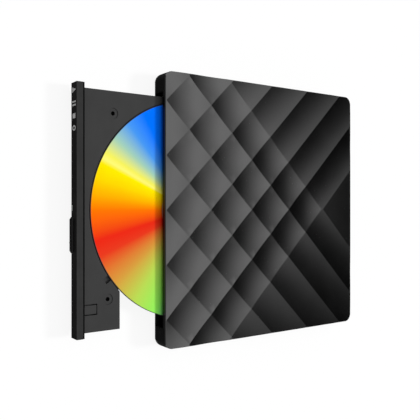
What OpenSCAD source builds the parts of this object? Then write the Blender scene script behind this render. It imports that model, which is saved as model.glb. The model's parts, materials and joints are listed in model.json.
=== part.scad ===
// External slim optical drive with a scooped diamond lid, tray standing part way out.
// +X is the right-hand side seen from the front, +Y the rear and +Z up. The drive lies on its feet.

/* [Disc] */
// Outer diameter of the disc
disc_d = 120; // [117:0.5:121]
// Diameter of the disc's centre hole
disc_hole_d = 15; // [14:0.1:16]
// Thickness of the disc
disc_t = 1.2; // [1:0.05:1.4]

/* [Case] */
// Wall thickness of both covers
case_wall = 2; // [1.6:0.1:2.6]
// Corner radius of the case seen from above
case_corner_r = 5; // [4.5:0.25:7]
// Radius of the case's lower edge
lower_edge_r = 4; // [3:0.25:4.5]
// Thickness of the case's floor
floor_t = 1.6; // [1.2:0.1:2.4]
// Thickness of the lid before the scoops are cut
lid_t = 2.2; // [1.8:0.1:3]
// Bevel along the lid's upper edge
lid_bevel = 0.4; // [0.3:0.1:0.8]
// Height of the top cover, from the lid's face down to the seam
cover_h = 4.6; // [4:0.1:5.5]
// Room beside the drive for the screw posts
side_bay = 9.6; // [8.4:0.2:14]
// Room behind the drive for the bridge board
rear_bay = 13.4; // [13:0.2:20]
// Gap under and over the drive
drive_gap = 0.3; // [0.2:0.05:0.8]

/* [Lid relief] */
// Corner to corner size of one diamond
relief_pitch = 29.5; // [25:0.5:34]
// Radius of the scoops
relief_r = 115; // [85:1:220]
// Distance from the lid's front edge to the first row of diamond corners
relief_front = 0.8; // [0:0.1:3]
// Width of the plain strip along the lid's front edge
relief_rim = 0.6; // [0.4:0.1:1.2]

/* [Feet and case screws] */
// Height of a foot under the case
foot_h = 1.2; // [0.8:0.1:2.5]
// Radius of a foot
foot_r = 4; // [3:0.25:5]
// Depth of a foot's pocket
foot_pocket = 0.5; // [0.3:0.1:0.8]
// Head radius of a case screw
case_screw_head_r = 1.9; // [1.6:0.1:2.2]
// Shank radius of a case screw
case_screw_r = 0.8; // [0.6:0.05:1]

/* [Drive chassis] */
// Height of the drive
drive_h = 9.5; // [9.3:0.1:11]
// Sheet thickness of the chassis and its top plate
sheet_t = 0.5; // [0.4:0.05:0.6]
// Width of the shallow wing on the drive's right side
wing_w = 21; // [18:0.5:22]
// Height of the wing's underside over the drive's underside
wing_rise = 4.2; // [3.8:0.1:4.4]
// Gap between the tray's edge and the chassis wall
tray_side_gap = 1.2; // [0.9:0.1:1.6]

/* [Tray] */
// How far the tray stands out of the case
tray_out = 49; // [20:1:70]
// Rim of the tray beside the disc
tray_rim = 1.3; // [1:0.1:2]
// Land between the bezel and the disc
tray_land = 3.6; // [3.2:0.1:6]
// Length of the tray behind the spindle
tray_tail = 54.5; // [52:0.5:55]
// Depth of the tray's right-hand ear behind the bezel
ear_d = 20; // [18:0.2:24]
// Clearance between the disc and its recess
recess_gap = 0.5; // [0.4:0.1:1]
// Height of the disc's underside over the drive's underside
disc_rise = 6.4; // [6.3:0.05:6.5]
// Clearance under the disc
disc_under = 0.6; // [0.4:0.05:0.7]
// Thickness of the tray's floor
tray_floor_t = 1.2; // [1:0.05:1.3]
// Wall thickness of the tray
tray_wall = 1.2; // [1:0.05:1.4]

/* [Bezel] */
// Thickness of the bezel, front to back
bezel_t = 4.3; // [3.8:0.1:5]
// Overhang of the bezel past the tray's edge on each side
bezel_over = 2.5; // [2:0.1:3]
// Height of the bezel
bezel_h = 8.9; // [8.6:0.1:9]
// Gap between the bezel and the mouth of the case
mouth_gap = 0.35; // [0.25:0.05:0.6]

/* [Eject button] */
// Length of the button
button_l = 18.2; // [14:0.2:20]
// Height of the button
button_h = 3; // [2.6:0.1:3.4]
// Distance from the drive's centre line to the middle of the button
button_x = 12.4; // [11:0.1:14]
// How far the button stands proud of the bezel
button_proud = 0.7; // [0.5:0.05:0.9]
// Radius of the dot on the button
dot_r = 0.85; // [0.6:0.05:1.1]

/* [Rails] */
// Width of a rail
rail_w = 3; // [2.8:0.1:3.2]
// Height of a rail
rail_h = 3; // [2.6:0.1:3.1]
// Length of a rail
rail_l = 114; // [106:1:116]
// Running gap around a rail
rail_gap = 0.2; // [0.12:0.02:0.25]

/* [Spindle and pickup] */
// Radius of the turntable
turntable_r = 14; // [12.5:0.25:15]
// Height of the hub over the disc
hub_proud = 1.1; // [0.7:0.05:1.2]
// Radius of the motor's rotor
rotor_r = 11.2; // [10.4:0.1:11.6]
// Radius of a guide rod
rod_r = 0.8; // [0.7:0.05:0.85]
// Distance from the tray's right wall to the nearer guide rod
rod_inset = 12.8; // [12.4:0.1:13.4]
// Radius of the lead screw
screw_r = 0.8; // [0.6:0.05:0.9]
// Radius of the disc track under the lens when the sled is parked
lens_park_r = 24; // [23.5:0.25:26]

/* [Socket] */
// Width of the cable socket's shell
socket_w = 8.94; // [8:0.02:10]
// Height of the cable socket's shell
socket_h = 3.26; // [3:0.02:3.6]
// Distance from the drive's centre line to the socket
socket_x = 8; // [0:0.5:10]

/* [Hidden] */
$fn = 64;
eps = 0.01;
fit = 0.1;            // slip clearance between pieces that seat in each other

// Widths, worked outwards from the disc
disc_r = disc_d/2;
tray_w = disc_d + 2*tray_rim;
bezel_w = tray_w + 2*bezel_over;
pan_w = tray_w + 2*(tray_side_gap + sheet_t);
drive_w = pan_w + 2*sheet_t;
case_w = drive_w + 2*(side_bay + case_wall);
mouth_w = bezel_w + 2*mouth_gap;

// Depths, worked backwards from the front of the closed bezel
disc_y = bezel_t + tray_land + disc_r;
tray_y = bezel_t;
tray_end = disc_y + tray_tail;
ear_end = tray_y + ear_d;
pan_front_gap = 0.6;
pan_y = bezel_t + pan_front_gap;
disc_rear_gap = 1.9;
rail_y = pan_y + 2.2;
lock_reach = 21;
lock_setback = 14.5;
post_r = 1;
post_foot_r = post_r + 0.8;
post_behind = lock_reach - 4 - lock_setback;
// the pan's rear wall clears the disc, the lock's post and the rails
pan_reach = max(disc_r + disc_rear_gap, tray_tail + post_behind + post_foot_r + fit,
                rail_y + rail_l - disc_y + fit);
pan_end = disc_y + pan_reach + sheet_t;
case_d = pan_end + rear_bay + case_wall;

// Heights, worked upwards from the table
floor_z = foot_h;
bay_z = floor_z + floor_t;
drive_z = bay_z + drive_gap;
pan_z = drive_z + sheet_t;
drive_top = drive_z + drive_h;
plate_z = drive_top - sheet_t;
lid_z = drive_top + drive_gap;
top_z = lid_z + lid_t;
seam_z = top_z - cover_h;
disc_z = drive_z + disc_rise;
disc_top = disc_z + disc_t;
rim_drop = 0.1;
rim_z = disc_top - rim_drop;
seat_z = disc_z - disc_under;
under_z = seat_z - tray_floor_t;
tray_lift = 1;
tray_z = pan_z + tray_lift;
belly_t = 0.4;
belly_top = tray_z + belly_t;
wing_z = drive_z + wing_rise;
ear_lift = 0.3;
ear_z = wing_z + sheet_t + ear_lift;
bezel_lift = 0.3;
bezel_z = drive_z + bezel_lift;

// Where the tray's pieces run, from its left edge to the step of the chassis
wall_gap = 0.1;
pan_left = -pan_w/2 + sheet_t;
step_x = pan_w/2 - wing_w;
guide_w = 2.2;
tongue = 0.8;
groove = tongue + rail_gap;
tongue_h = 0.9;
groove_h = tongue_h + 2*rail_gap;
rail_z = pan_z + 0.6;
rail_mid = rail_z + rail_h/2;
left_rail_x = pan_left + wall_gap + guide_w + rail_gap;
right_rail_x = step_x - sheet_t - wall_gap - guide_w - rail_gap - rail_w;
wall_left = left_rail_x + rail_w + rail_gap;
wall_right = right_rail_x - rail_gap;
tray_right = step_x - sheet_t - wall_gap - rail_gap;

// Button and bezel
button_travel = 0.8;
button_gap = 0.2;
button_z = bezel_z + 2.8;
dot_proud = 0.5;
dot_x = button_x + 3.7;
lamp_x = button_x - button_l/2 - 4.5;
lamp_w = 3;
lamp_h = 1;
pin_hole_x = button_x + button_l/2 + 5;
pin_hole_r = 0.6;
bezel_skin = 1.8;
bezel_lip_t = 0.9;
scoop_lift = 0.02;
bezel_lip_drop = 0.35;
hook_w = 4.4;
hook_x = tray_w/2 - 11.4;
hook_l = 7;
hook_slot = 0.6;
hook_t = 1.1;

// Spindle, pickup and their frame, placed from the spindle's axis
frame_t = 0.8;
frame_z = belly_top + 0.4;
frame_top = frame_z + frame_t;
rod_x = wall_right - rod_inset;
screw_x = -rod_x - 5.5;
frame_left = screw_x - 11.5;
frame_right = wall_right - tray_wall - 0.4;
frame_front = disc_r - 1.5;
frame_rear = 21;
frame_bar = 1.5;
bay_front = frame_front - frame_bar;
bay_rear = 8;
bay_half = rod_x - 1.6;
rod_z = frame_top + rod_r + 0.5;
lip_z = seat_z - 0.5;
rod_rear = 9;
screw_z = frame_top + 1.1;
shaft_r = 1;
sleeve_r = 2.6;
running = 0.05;
motor_r = rotor_r + 0.7;
sled_front = 4;
sled_rear = 12;
sled_top = lip_z - 0.1;
lens_r = 2;
window_left = screw_x - 4;
window_right = rod_x + 4.5;
window_front = disc_r + 1.2;
damper_r = 3;
damper_neck_r = 1.9;
damper_bore_r = 1.3;
damper_spots = [[frame_left + damper_r + 0.5, -frame_front + 5],
                [frame_right - damper_r - 0.2, -frame_front + 5],
                [-rod_x - 2, frame_rear - 4.5], [rod_x + 2, frame_rear - 4.5]];

// Boards and sockets
board_t = 0.8;
chip_t = drive_h/10.6;
chip_scale = disc_d/120;
lock_pivot = [wall_right - 11.8, tray_tail - lock_setback];
main_board = [[wall_left + 4.8, lock_pivot[0] - 8], [frame_rear + 4, tray_tail - 3.5]];
belly_screw_spots = [[wall_left + 6.8, -frame_front + 8.5], [wall_right - 4.8, -disc_r - 0.8],
                     [wall_left + 6.8, frame_rear - 7], [wall_right - 4.3, frame_rear + 4]];
lock_t = 0.8;
lock_pin_r = 0.8;
lock_z = belly_top + 0.5;
dock_d = 5.2;
dock_x = [-0.365, -0.032]*pan_w;
plug_x = [-0.325, -0.071]*pan_w;
plug_z = [pan_z + 1.5, pan_z + 4.7];
plug_out = 1.8;
plug_tongue = 3;
plug_tongue_t = 1;
bridge_x = [-0.397, 0.175]*pan_w;
bridge_gap = 2;
bridge_z = bay_z + bridge_gap;
bridge_t = 1;
bridge_y = [pan_end + plug_out + 0.6, case_d - case_wall - 1];
socket_shell_t = 0.3;
socket_l = 7.3;
socket_y = case_d - 0.3;
socket_z = bridge_z + bridge_t;
strip_x = [lamp_x - 3, button_x + button_l/2 + 2];
strip_y = tray_y + 2;
strip_t = 0.6;
switch_w = 5;
switch_t = 1;

// Case posts, feet and their places
post_inset = 4;
case_post_r = 2.5;
screw_clear = 0.35;
screw_spots = [for (s = [-1, 1], y = [20, case_d - 20]) [s*(case_w/2 - case_wall - post_inset), y]];
foot_inset = 11;
foot_spots = [for (y = [10, case_d - 10], s = [-1, 1]) [s*(case_w/2 - foot_inset), y]];
foot_names = ["foot_front_left", "foot_front_right", "foot_rear_left", "foot_rear_right"];
screw_head_h = 1;
screw_sink = 1.2;
screw_l = 9;
post_split = seam_z - 2.5;
lip_h = 1;
lip_t = 0.9;

// The origin is the middle of the footprint, with the tray where it stands
foremost = tray_out + button_proud + dot_proud;
origin_y = (foremost - case_d)/2;

// Places a piece of the fixed case
module in_case() { translate([0, origin_y, 0]) children(); }

// Places a piece that rides on the tray, drawn where it lies when the tray is shut
module in_tray() { translate([0, origin_y - tray_out, 0]) children(); }

// Places a rail, which runs half as far as the tray
module in_rail() { translate([0, origin_y - tray_out/2, 0]) children(); }

// Places a piece drawn about the spindle's axis
module at_spindle() { in_tray() translate([0, disc_y, 0]) children(); }

// A block between two corners, given as one range for each axis
module block(x, y, z) {
  translate([x[0], y[0], z[0]]) cube([x[1] - x[0], y[1] - y[0], z[1] - z[0]]);
}

// A slab with round corners, whose wall section is the child profile from x = 0 to x = r
module slab(w, d, r, z) {
  for (sx = [-1, 1], sy = [-1, 1])
    translate([sx*(w/2 - r), sy*(d/2 - r), 0]) rotate_extrude() children();
  for (turn = [0, 180]) {
    rotate(turn) translate([w/2 - r, d/2 - r, 0]) rotate([90, 0, 0]) linear_extrude(d - 2*r) children();
    rotate(turn + 90) translate([d/2 - r, w/2 - r, 0]) rotate([90, 0, 0])
      linear_extrude(w - 2*r) children();
  }
  block([-w/2 + r, w/2 - r], [-d/2 + r, d/2 - r], z);
}

// Wall section with a round lower edge
module round_foot_profile(r, z, edge) {
  translate([0, z[0]]) square([r - edge, z[1] - z[0]]);
  translate([0, z[0] + edge]) square([r, z[1] - z[0] - edge]);
  translate([r - edge, z[0]]) intersection() {
    translate([0, edge]) circle(edge);
    square(edge);
  }
}

// Wall section with a bevelled upper edge
module bevel_profile(r, z, bevel) {
  polygon([[0, z[0]], [r, z[0]], [r, z[1] - bevel], [r - bevel, z[1]], [0, z[1]]]);
}

// A plain slab with round corners
module tile(w, d, r, z) { slab(w, d, r, z) translate([0, z[0]]) square([r, z[1] - z[0]]); }

// A rounded slot along X, cut from front to back
module slot_cut(w, h, l) {
  rotate([-90, 0, 0]) {
    translate([-w/2 + h/2, -h/2, 0]) cube([w - h, h, l]);
    for (s = [-1, 1]) translate([s*(w/2 - h/2), 0, 0]) cylinder(h = l, r = h/2);
  }
}

// Places the middle of the case's plan
module case_middle() { translate([0, case_d/2, 0]) children(); }

// The mouth that the tray runs through
module mouth_cut() {
  block([-mouth_w/2, mouth_w/2], [-1, case_wall + 4],
        [bezel_z - mouth_gap, bezel_z + bezel_h + mouth_gap]);
}

// The opening round the cable socket
module socket_cut() {
  translate([socket_x, case_d - case_wall - 3, socket_z + socket_h/2])
    slot_cut(socket_w + 4*fit, socket_h + 4*fit, case_wall + 4);
}

// Spots of the ball scoops, one for each diamond, as a column and a row of half pitches
ball_spots = [for (row = [0:7], column = [-5:5])
  if ((row + column) % 2 != 0 && abs(column) <= 7 - row) [column, row]];

// Starts of the troughs that run out to both sides, as a side and a step
trough_spots = [for (s = [-1, 1], step = [0:5]) [s, step]];

// One diamond's scoop. Neighbouring balls meet along the diamonds' edges
module whole_ball(spot) {
  half = relief_pitch/2;
  ball_z = top_z + scoop_lift + sqrt(relief_r*relief_r - half*half);
  translate([spot[0]*half, relief_front + spot[1]*half, ball_z]) rotate([90, 0, 0])
    sphere(relief_r, $fn = 320);
}

// The front row's scoops stop at the strip along the lid's front edge
module ball_scoop(spot) {
  if (spot[1] > 0) whole_ball(spot);
  else intersection() {
    whole_ball(spot);
    block([-case_w, case_w], [relief_rim, case_d], [0, top_z + relief_r]);
  }
}

// One trough, which starts in a diamond's middle and runs out over the lid's edge
module trough_scoop(spot) {
  half = relief_pitch/2;
  trough_half = half/sqrt(2);
  trough_z = top_z - scoop_lift + sqrt(relief_r*relief_r - trough_half*trough_half);
  translate([spot[0]*spot[1]*half, relief_front + (7 - spot[1])*half, trough_z])
    rotate([0, 90, 90 - spot[0]*45]) cylinder(h = case_w + case_d, r = relief_r, $fn = 400);
}

// Cuts the balls from the children one after another, and then the troughs
module cut_balls(i) {
  if (i < 0) children();
  else difference() {
    cut_balls(i - 1) children();
    ball_scoop(ball_spots[i]);
  }
}
module cut_troughs(i) {
  if (i < 0) children();
  else difference() {
    cut_troughs(i - 1) children();
    trough_scoop(trough_spots[i]);
  }
}

// Upper shell: scooped lid, walls and the lip that locates it in the lower shell
module top_cover() {
  inner_r = case_corner_r - case_wall;
  lip_w = case_w - 2*case_wall - 2*fit;
  lip_d = case_d - 2*case_wall - 2*fit;
  color("#2b2b2d") in_case() difference() {
    union() {
      difference() {
        cut_troughs(len(trough_spots) - 1) cut_balls(len(ball_spots) - 1)
          case_middle() slab(case_w, case_d, case_corner_r, [seam_z, top_z])
            bevel_profile(case_corner_r, [seam_z, top_z], lid_bevel);
        case_middle() tile(case_w - 2*case_wall, case_d - 2*case_wall, inner_r, [seam_z - 1, lid_z]);
      }
      case_middle() difference() {
        tile(lip_w, lip_d, inner_r - fit, [seam_z - lip_h, seam_z + lip_h]);
        tile(lip_w - 2*lip_t, lip_d - 2*lip_t, inner_r - fit - lip_t, [seam_z - 2*lip_h, seam_z + 2*lip_h]);
      }
      case_middle() for (s = [-1, 1], along = [-1, 1]) {
        x = s*(case_w/2 - case_wall - lip_t/2 - fit);
        block([x - lip_t/2, x + lip_t/2], [along*30 - 4, along*30 + 4], [seam_z, lid_z]);
      }
      for (p = screw_spots) translate([p[0], p[1], post_split])
        cylinder(h = lid_z - post_split, r = case_post_r);
    }
    for (p = screw_spots) translate([p[0], p[1], post_split - 1])
      cylinder(h = lid_z - post_split, r = case_screw_r + fit/2, $fn = 32);
    mouth_cut();
    socket_cut();
  }
}

// Lower shell: tub with a mouth in front, seats for the drive and posts for the boards
module bottom_cover() {
  inner_edge = lower_edge_r - floor_t;
  inner_r = case_corner_r - case_wall;
  fence_x = drive_w/2 + drive_gap;
  fence_t = 1.4;
  rib_t = 1.2;
  color("#17171a") in_case() difference() {
    union() {
      difference() {
        case_middle() slab(case_w, case_d, case_corner_r, [floor_z, seam_z])
          round_foot_profile(case_corner_r, [floor_z, seam_z], lower_edge_r);
        case_middle() slab(case_w - 2*case_wall, case_d - 2*case_wall, inner_r, [bay_z, seam_z + 1])
          round_foot_profile(inner_r, [bay_z, seam_z + 1], min(inner_edge, inner_r - eps));
        mouth_cut();
      }
      for (p = screw_spots) translate([p[0], p[1], floor_z])
        cylinder(h = post_split - floor_z, r = case_post_r);
      for (x = [-0.3*pan_w, 0.2*pan_w])
        block([x - rib_t/2, x + rib_t/2], [pan_y + 6, pan_end - 6], [bay_z - eps, drive_z]);
      for (y = [pan_y + 20, (pan_y + pan_end)/2, pan_end - 20])
        block([step_x + 5, pan_w/2 - 3], [y - rib_t/2, y + rib_t/2], [bay_z - eps, wing_z]);
      for (s = [-1, 1], y = [pan_y + 40, pan_end - 40])
        block([s*(fence_x + fence_t/2) - fence_t/2, s*(fence_x + fence_t/2) + fence_t/2],
              [y - 7, y + 7], [bay_z - eps, drive_z + drive_h/2]);
      for (x = bridge_x) translate([x + sign(-x)*4, (bridge_y[0] + bridge_y[1])/2, bay_z - eps])
        cylinder(h = bridge_gap + eps, r = 2.2);
    }
    for (p = screw_spots) translate([p[0], p[1], 0]) {
      cylinder(h = floor_z + screw_sink, r = case_screw_head_r + screw_clear);
      cylinder(h = seam_z, r = case_screw_r + screw_clear, $fn = 32);
    }
    for (p = foot_spots) translate([p[0], p[1], 0]) cylinder(h = floor_z + foot_pocket, r = foot_r + fit);
    for (x = bridge_x) translate([x + sign(-x)*4, (bridge_y[0] + bridge_y[1])/2, bay_z - 0.4])
      cylinder(h = 5, r = 0.7 + fit/2, $fn = 32);
    socket_cut();
  }
}

// Screw with a flat head, standing head down
module screw(head_r, head_h, shank_r, shank_l) {
  cylinder(h = head_h, r = head_r);
  translate([0, 0, head_h]) cylinder(h = shank_l, r = shank_r, $fn = 32);
}

module case_screws() {
  color("silver") in_case() for (p = screw_spots)
    translate([p[0], p[1], floor_z + screw_sink - screw_head_h])
      screw(case_screw_head_r, screw_head_h, case_screw_r, screw_l - screw_head_h);
}

// Foot: a soft disc with a bevelled edge, seated in its pocket
module foot(i) {
  bevel = 0.4;
  color("#6a6a6c") in_case() translate([foot_spots[i][0], foot_spots[i][1], 0]) rotate_extrude()
    polygon([[0, 0], [foot_r - bevel, 0], [foot_r, bevel], [foot_r, foot_h + foot_pocket],
             [0, foot_h + foot_pocket]]);
}

// Section of the chassis pan, stepped up under the wing
module pan_section() {
  polygon([
    [-pan_w/2, drive_z], [step_x, drive_z], [step_x, wing_z], [pan_w/2, wing_z], [pan_w/2, plate_z],
    [pan_w/2 - sheet_t, plate_z], [pan_w/2 - sheet_t, wing_z + sheet_t],
    [step_x - sheet_t, wing_z + sheet_t],
    [step_x - sheet_t, pan_z], [pan_left, pan_z], [pan_left, plate_z], [-pan_w/2, plate_z]
  ]);
}

// Outline of the pan's rear wall
module pan_end_section() {
  polygon([[-pan_w/2, drive_z], [step_x, drive_z], [step_x, wing_z], [pan_w/2, wing_z],
           [pan_w/2, plate_z], [-pan_w/2, plate_z]]);
}

side_screw_y = [30, 105];
side_screw_z = plate_z - 1;
side_screw_r = 0.6;

// Screw holes through both flanges and both walls
module side_holes(extra) {
  for (y = side_screw_y) translate([-pan_w, pan_y + y, side_screw_z])
    rotate([0, 90, 0]) cylinder(h = 2*pan_w, r = side_screw_r + extra, $fn = 32);
}

// Pressed steel pan of the drive
module drive_chassis() {
  color("#8d9092") in_case() difference() {
    union() {
      translate([0, pan_end, 0]) rotate([90, 0, 0]) linear_extrude(pan_end - pan_y) pan_section();
      translate([0, pan_end, 0]) rotate([90, 0, 0]) linear_extrude(sheet_t) pan_end_section();
    }
    block([plug_x[0] - 1, plug_x[1] + 1], [pan_end - 2, pan_end + 1], [plug_z[0] - 0.4, plug_z[1] + 0.4]);
    side_holes(fit);
    for (x = [-40, 0]) translate([x, pan_y + 14, drive_z - 1]) cylinder(h = 3, r = 2.5);
  }
}

// Steel plate over the drive, with a flange down each side
module drive_top_plate() {
  flange_h = 2;
  bead = 0.2;
  color("#9a9d9f") in_case() difference() {
    union() {
      block([-drive_w/2, drive_w/2], [pan_y, pan_end], [plate_z, drive_top]);
      for (s = [-1, 1]) block([s*(pan_w/2 + sheet_t/2) - sheet_t/2, s*(pan_w/2 + sheet_t/2) + sheet_t/2],
                              [pan_y, pan_end], [drive_top - flange_h, drive_top]);
    }
    side_holes(fit);
    // pressed ring over the hub and two long beads
    translate([0, disc_y, drive_top - bead]) difference() {
      cylinder(h = 1, r = turntable_r + 6);
      translate([0, 0, -1]) cylinder(h = 3, r = turntable_r + 4);
    }
    for (x = [-0.36, 0.36]*pan_w)
      block([x - 1, x + 1], [pan_y + 18, pan_end - 18], [drive_top - bead, drive_top + 1]);
  }
}

module chassis_screws() {
  color("silver") in_case() for (s = [-1, 1], y = side_screw_y)
    translate([s*(drive_w/2 + 0.4), pan_y + y, side_screw_z]) rotate([0, -s*90, 0])
      screw(0.95, 0.4, side_screw_r, 0.9);
}

// Guide channel side: a strip with a tongue that a rail runs on. s is the way the tongue points
module guide(x, s) {
  tip = s > 0 ? x + guide_w : x;
  color("#d8d8d2") in_case() {
    block([x, x + guide_w], [rail_y - 1, rail_y + rail_l], [pan_z, rail_z + rail_h + 0.1]);
    block([min(tip, tip + s*(tongue + rail_gap/2)), max(tip, tip + s*(tongue + rail_gap/2))],
          [rail_y - 1, rail_y + rail_l], [rail_mid - tongue_h/2, rail_mid + tongue_h/2]);
  }
}
module left_guide() { guide(pan_left + wall_gap, 1); }
module right_guide() { guide(step_x - sheet_t - wall_gap - guide_w, -1); }

// Rail with a groove down each side
module rail(x) {
  color("#b9bcbe") in_rail() difference() {
    block([x, x + rail_w], [rail_y, rail_y + rail_l], [rail_z, rail_z + rail_h]);
    for (side = [x - 1, x + rail_w - groove])
      block([side, side + groove + 1], [rail_y - 1, rail_y + rail_l + 1],
            [rail_mid - groove_h/2, rail_mid + groove_h/2]);
  }
}
module left_rail() { rail(left_rail_x); }
module right_rail() { rail(right_rail_x); }

// Post that the tray's lock hooks behind when the tray is shut
lock_post_y = tray_end + post_behind;
module lock_post() {
  color("silver") in_case() translate([lock_pivot[0], lock_post_y, pan_z]) {
    cylinder(h = 2.6, r = post_r, $fn = 32);
    cylinder(h = 0.3, r = post_foot_r, $fn = 32);
  }
}

// Board at the back of the chassis, with the drive's plug on it
module dock_board() {
  color("#1f5a34") in_case()
    block(dock_x, [pan_end - sheet_t - dock_d, pan_end - sheet_t - 0.2], [plug_z[0] - board_t, plug_z[0]]);
}

module drive_plug() {
  mid = (plug_z[0] + plug_z[1])/2;
  color("#20201f") in_case() {
    block(plug_x, [pan_end - dock_d + 0.6, pan_end + plug_out], plug_z);
    block([plug_x[0] + 1.5, plug_x[1] - 1.5], [pan_end + plug_out - eps, pan_end + plug_out + plug_tongue],
          [mid - plug_tongue_t/2, mid + plug_tongue_t/2]);
  }
}

// Board between the drive and the cable socket
module bridge_board() {
  color("#1d4f30") in_case() difference() {
    block(bridge_x, bridge_y, [bridge_z, bridge_z + bridge_t]);
    for (x = bridge_x) translate([x + sign(-x)*4, (bridge_y[0] + bridge_y[1])/2, 0])
      cylinder(h = top_z, r = 0.9, $fn = 32);
  }
}

module bridge_socket() {
  mid = (plug_z[0] + plug_z[1])/2;
  face = pan_end + plug_out + 0.2;
  color("#1b1b1b") in_case() difference() {
    block([plug_x[0] - 0.5, plug_x[1] + 0.5], [face, face + 6],
          [bridge_z + bridge_t, max(plug_z[1], bridge_z + bridge_t + 3)]);
    block([plug_x[0] + 1.2, plug_x[1] - 1.2], [face - 1, face + plug_tongue + 0.6],
          [mid - plug_tongue_t/2 - fit, mid + plug_tongue_t/2 + fit]);
  }
}

// Controller, flash and crystal on the bridge board
module bridge_chips() {
  y = (bridge_y[0] + bridge_y[1])/2;
  places = [[-3, y + 0.6], [-14, bridge_y[1] - 2], [-3, y - 4]];
  sizes = [[6, 6], [4, 3], [3.2, 1.5]]*chip_scale;
  color("#111113") in_case() for (i = [0:2])
    translate([places[i][0], places[i][1], bridge_z + bridge_t])
      linear_extrude(chip_t) square(sizes[i], center = true);
}

module bridge_screws() {
  color("silver") in_case() for (x = bridge_x)
    translate([x + sign(-x)*4, (bridge_y[0] + bridge_y[1])/2, bridge_z + bridge_t + 0.8])
      rotate([180, 0, 0]) screw(1.6, 0.8, 0.7, bridge_t + bridge_gap - 0.2);
}

// Cable socket: a drawn shell with a tongue inside
module cable_socket() {
  mid = socket_z + socket_h/2;
  tongue_l = 5.6;
  tongue_w = 6.7;
  tongue_t = 0.7;
  back = 1.4;
  color("#c9cbcd") in_case() translate([socket_x, socket_y - socket_l, mid]) {
    difference() {
      slot_cut(socket_w, socket_h, socket_l);
      translate([0, back, 0]) slot_cut(socket_w - 2*socket_shell_t, socket_h - 2*socket_shell_t, socket_l);
    }
    block([-tongue_w/2, tongue_w/2], [back - eps, back + tongue_l], [-tongue_t/2, tongue_t/2]);
  }
}

// Ribbon from the dock to the tray: along the chassis floor, round a fold and back under the tray
flex_x = [-0.27, -0.111]*pan_w;
flex_t = 0.12;
flex_low = pan_z + 0.05;
flex_high = tray_z - 0.05 - flex_t;
flex_fold_r = (flex_high + flex_t - flex_low)/2;
flex_fold_y = disc_y - tray_out/2 - 14;
module flex_cable() {
  dock_y = pan_end - sheet_t - dock_d;
  lift = plug_z[0] - board_t - flex_low;
  color("#b8791f") in_case() {
    block(flex_x, [flex_fold_y, dock_y + 1], [flex_low, flex_low + flex_t]);
    block(flex_x, [dock_y + 1 - flex_t, dock_y + 1], [flex_low, flex_low + lift]);
    block(flex_x, [flex_fold_y, disc_y + tray_tail - tray_out - 6], [flex_high, flex_high + flex_t]);
    translate([flex_x[0], flex_fold_y, flex_low + flex_fold_r]) rotate([90, 0, 90]) rotate([0, 0, 90])
      difference() {
        rotate_extrude_half(flex_fold_r, flex_x[1] - flex_x[0]);
        translate([0, 0, -1]) cylinder(h = flex_x[1] - flex_x[0] + 2, r = flex_fold_r - flex_t, $fn = 32);
      }
  }
}

// Half of a cylinder, flat side towards -Y
module rotate_extrude_half(r, h) {
  intersection() {
    cylinder(h = h, r = r, $fn = 32);
    translate([-2*r, 0, -1]) cube([4*r, 2*r, h + 2]);
  }
}

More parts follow.
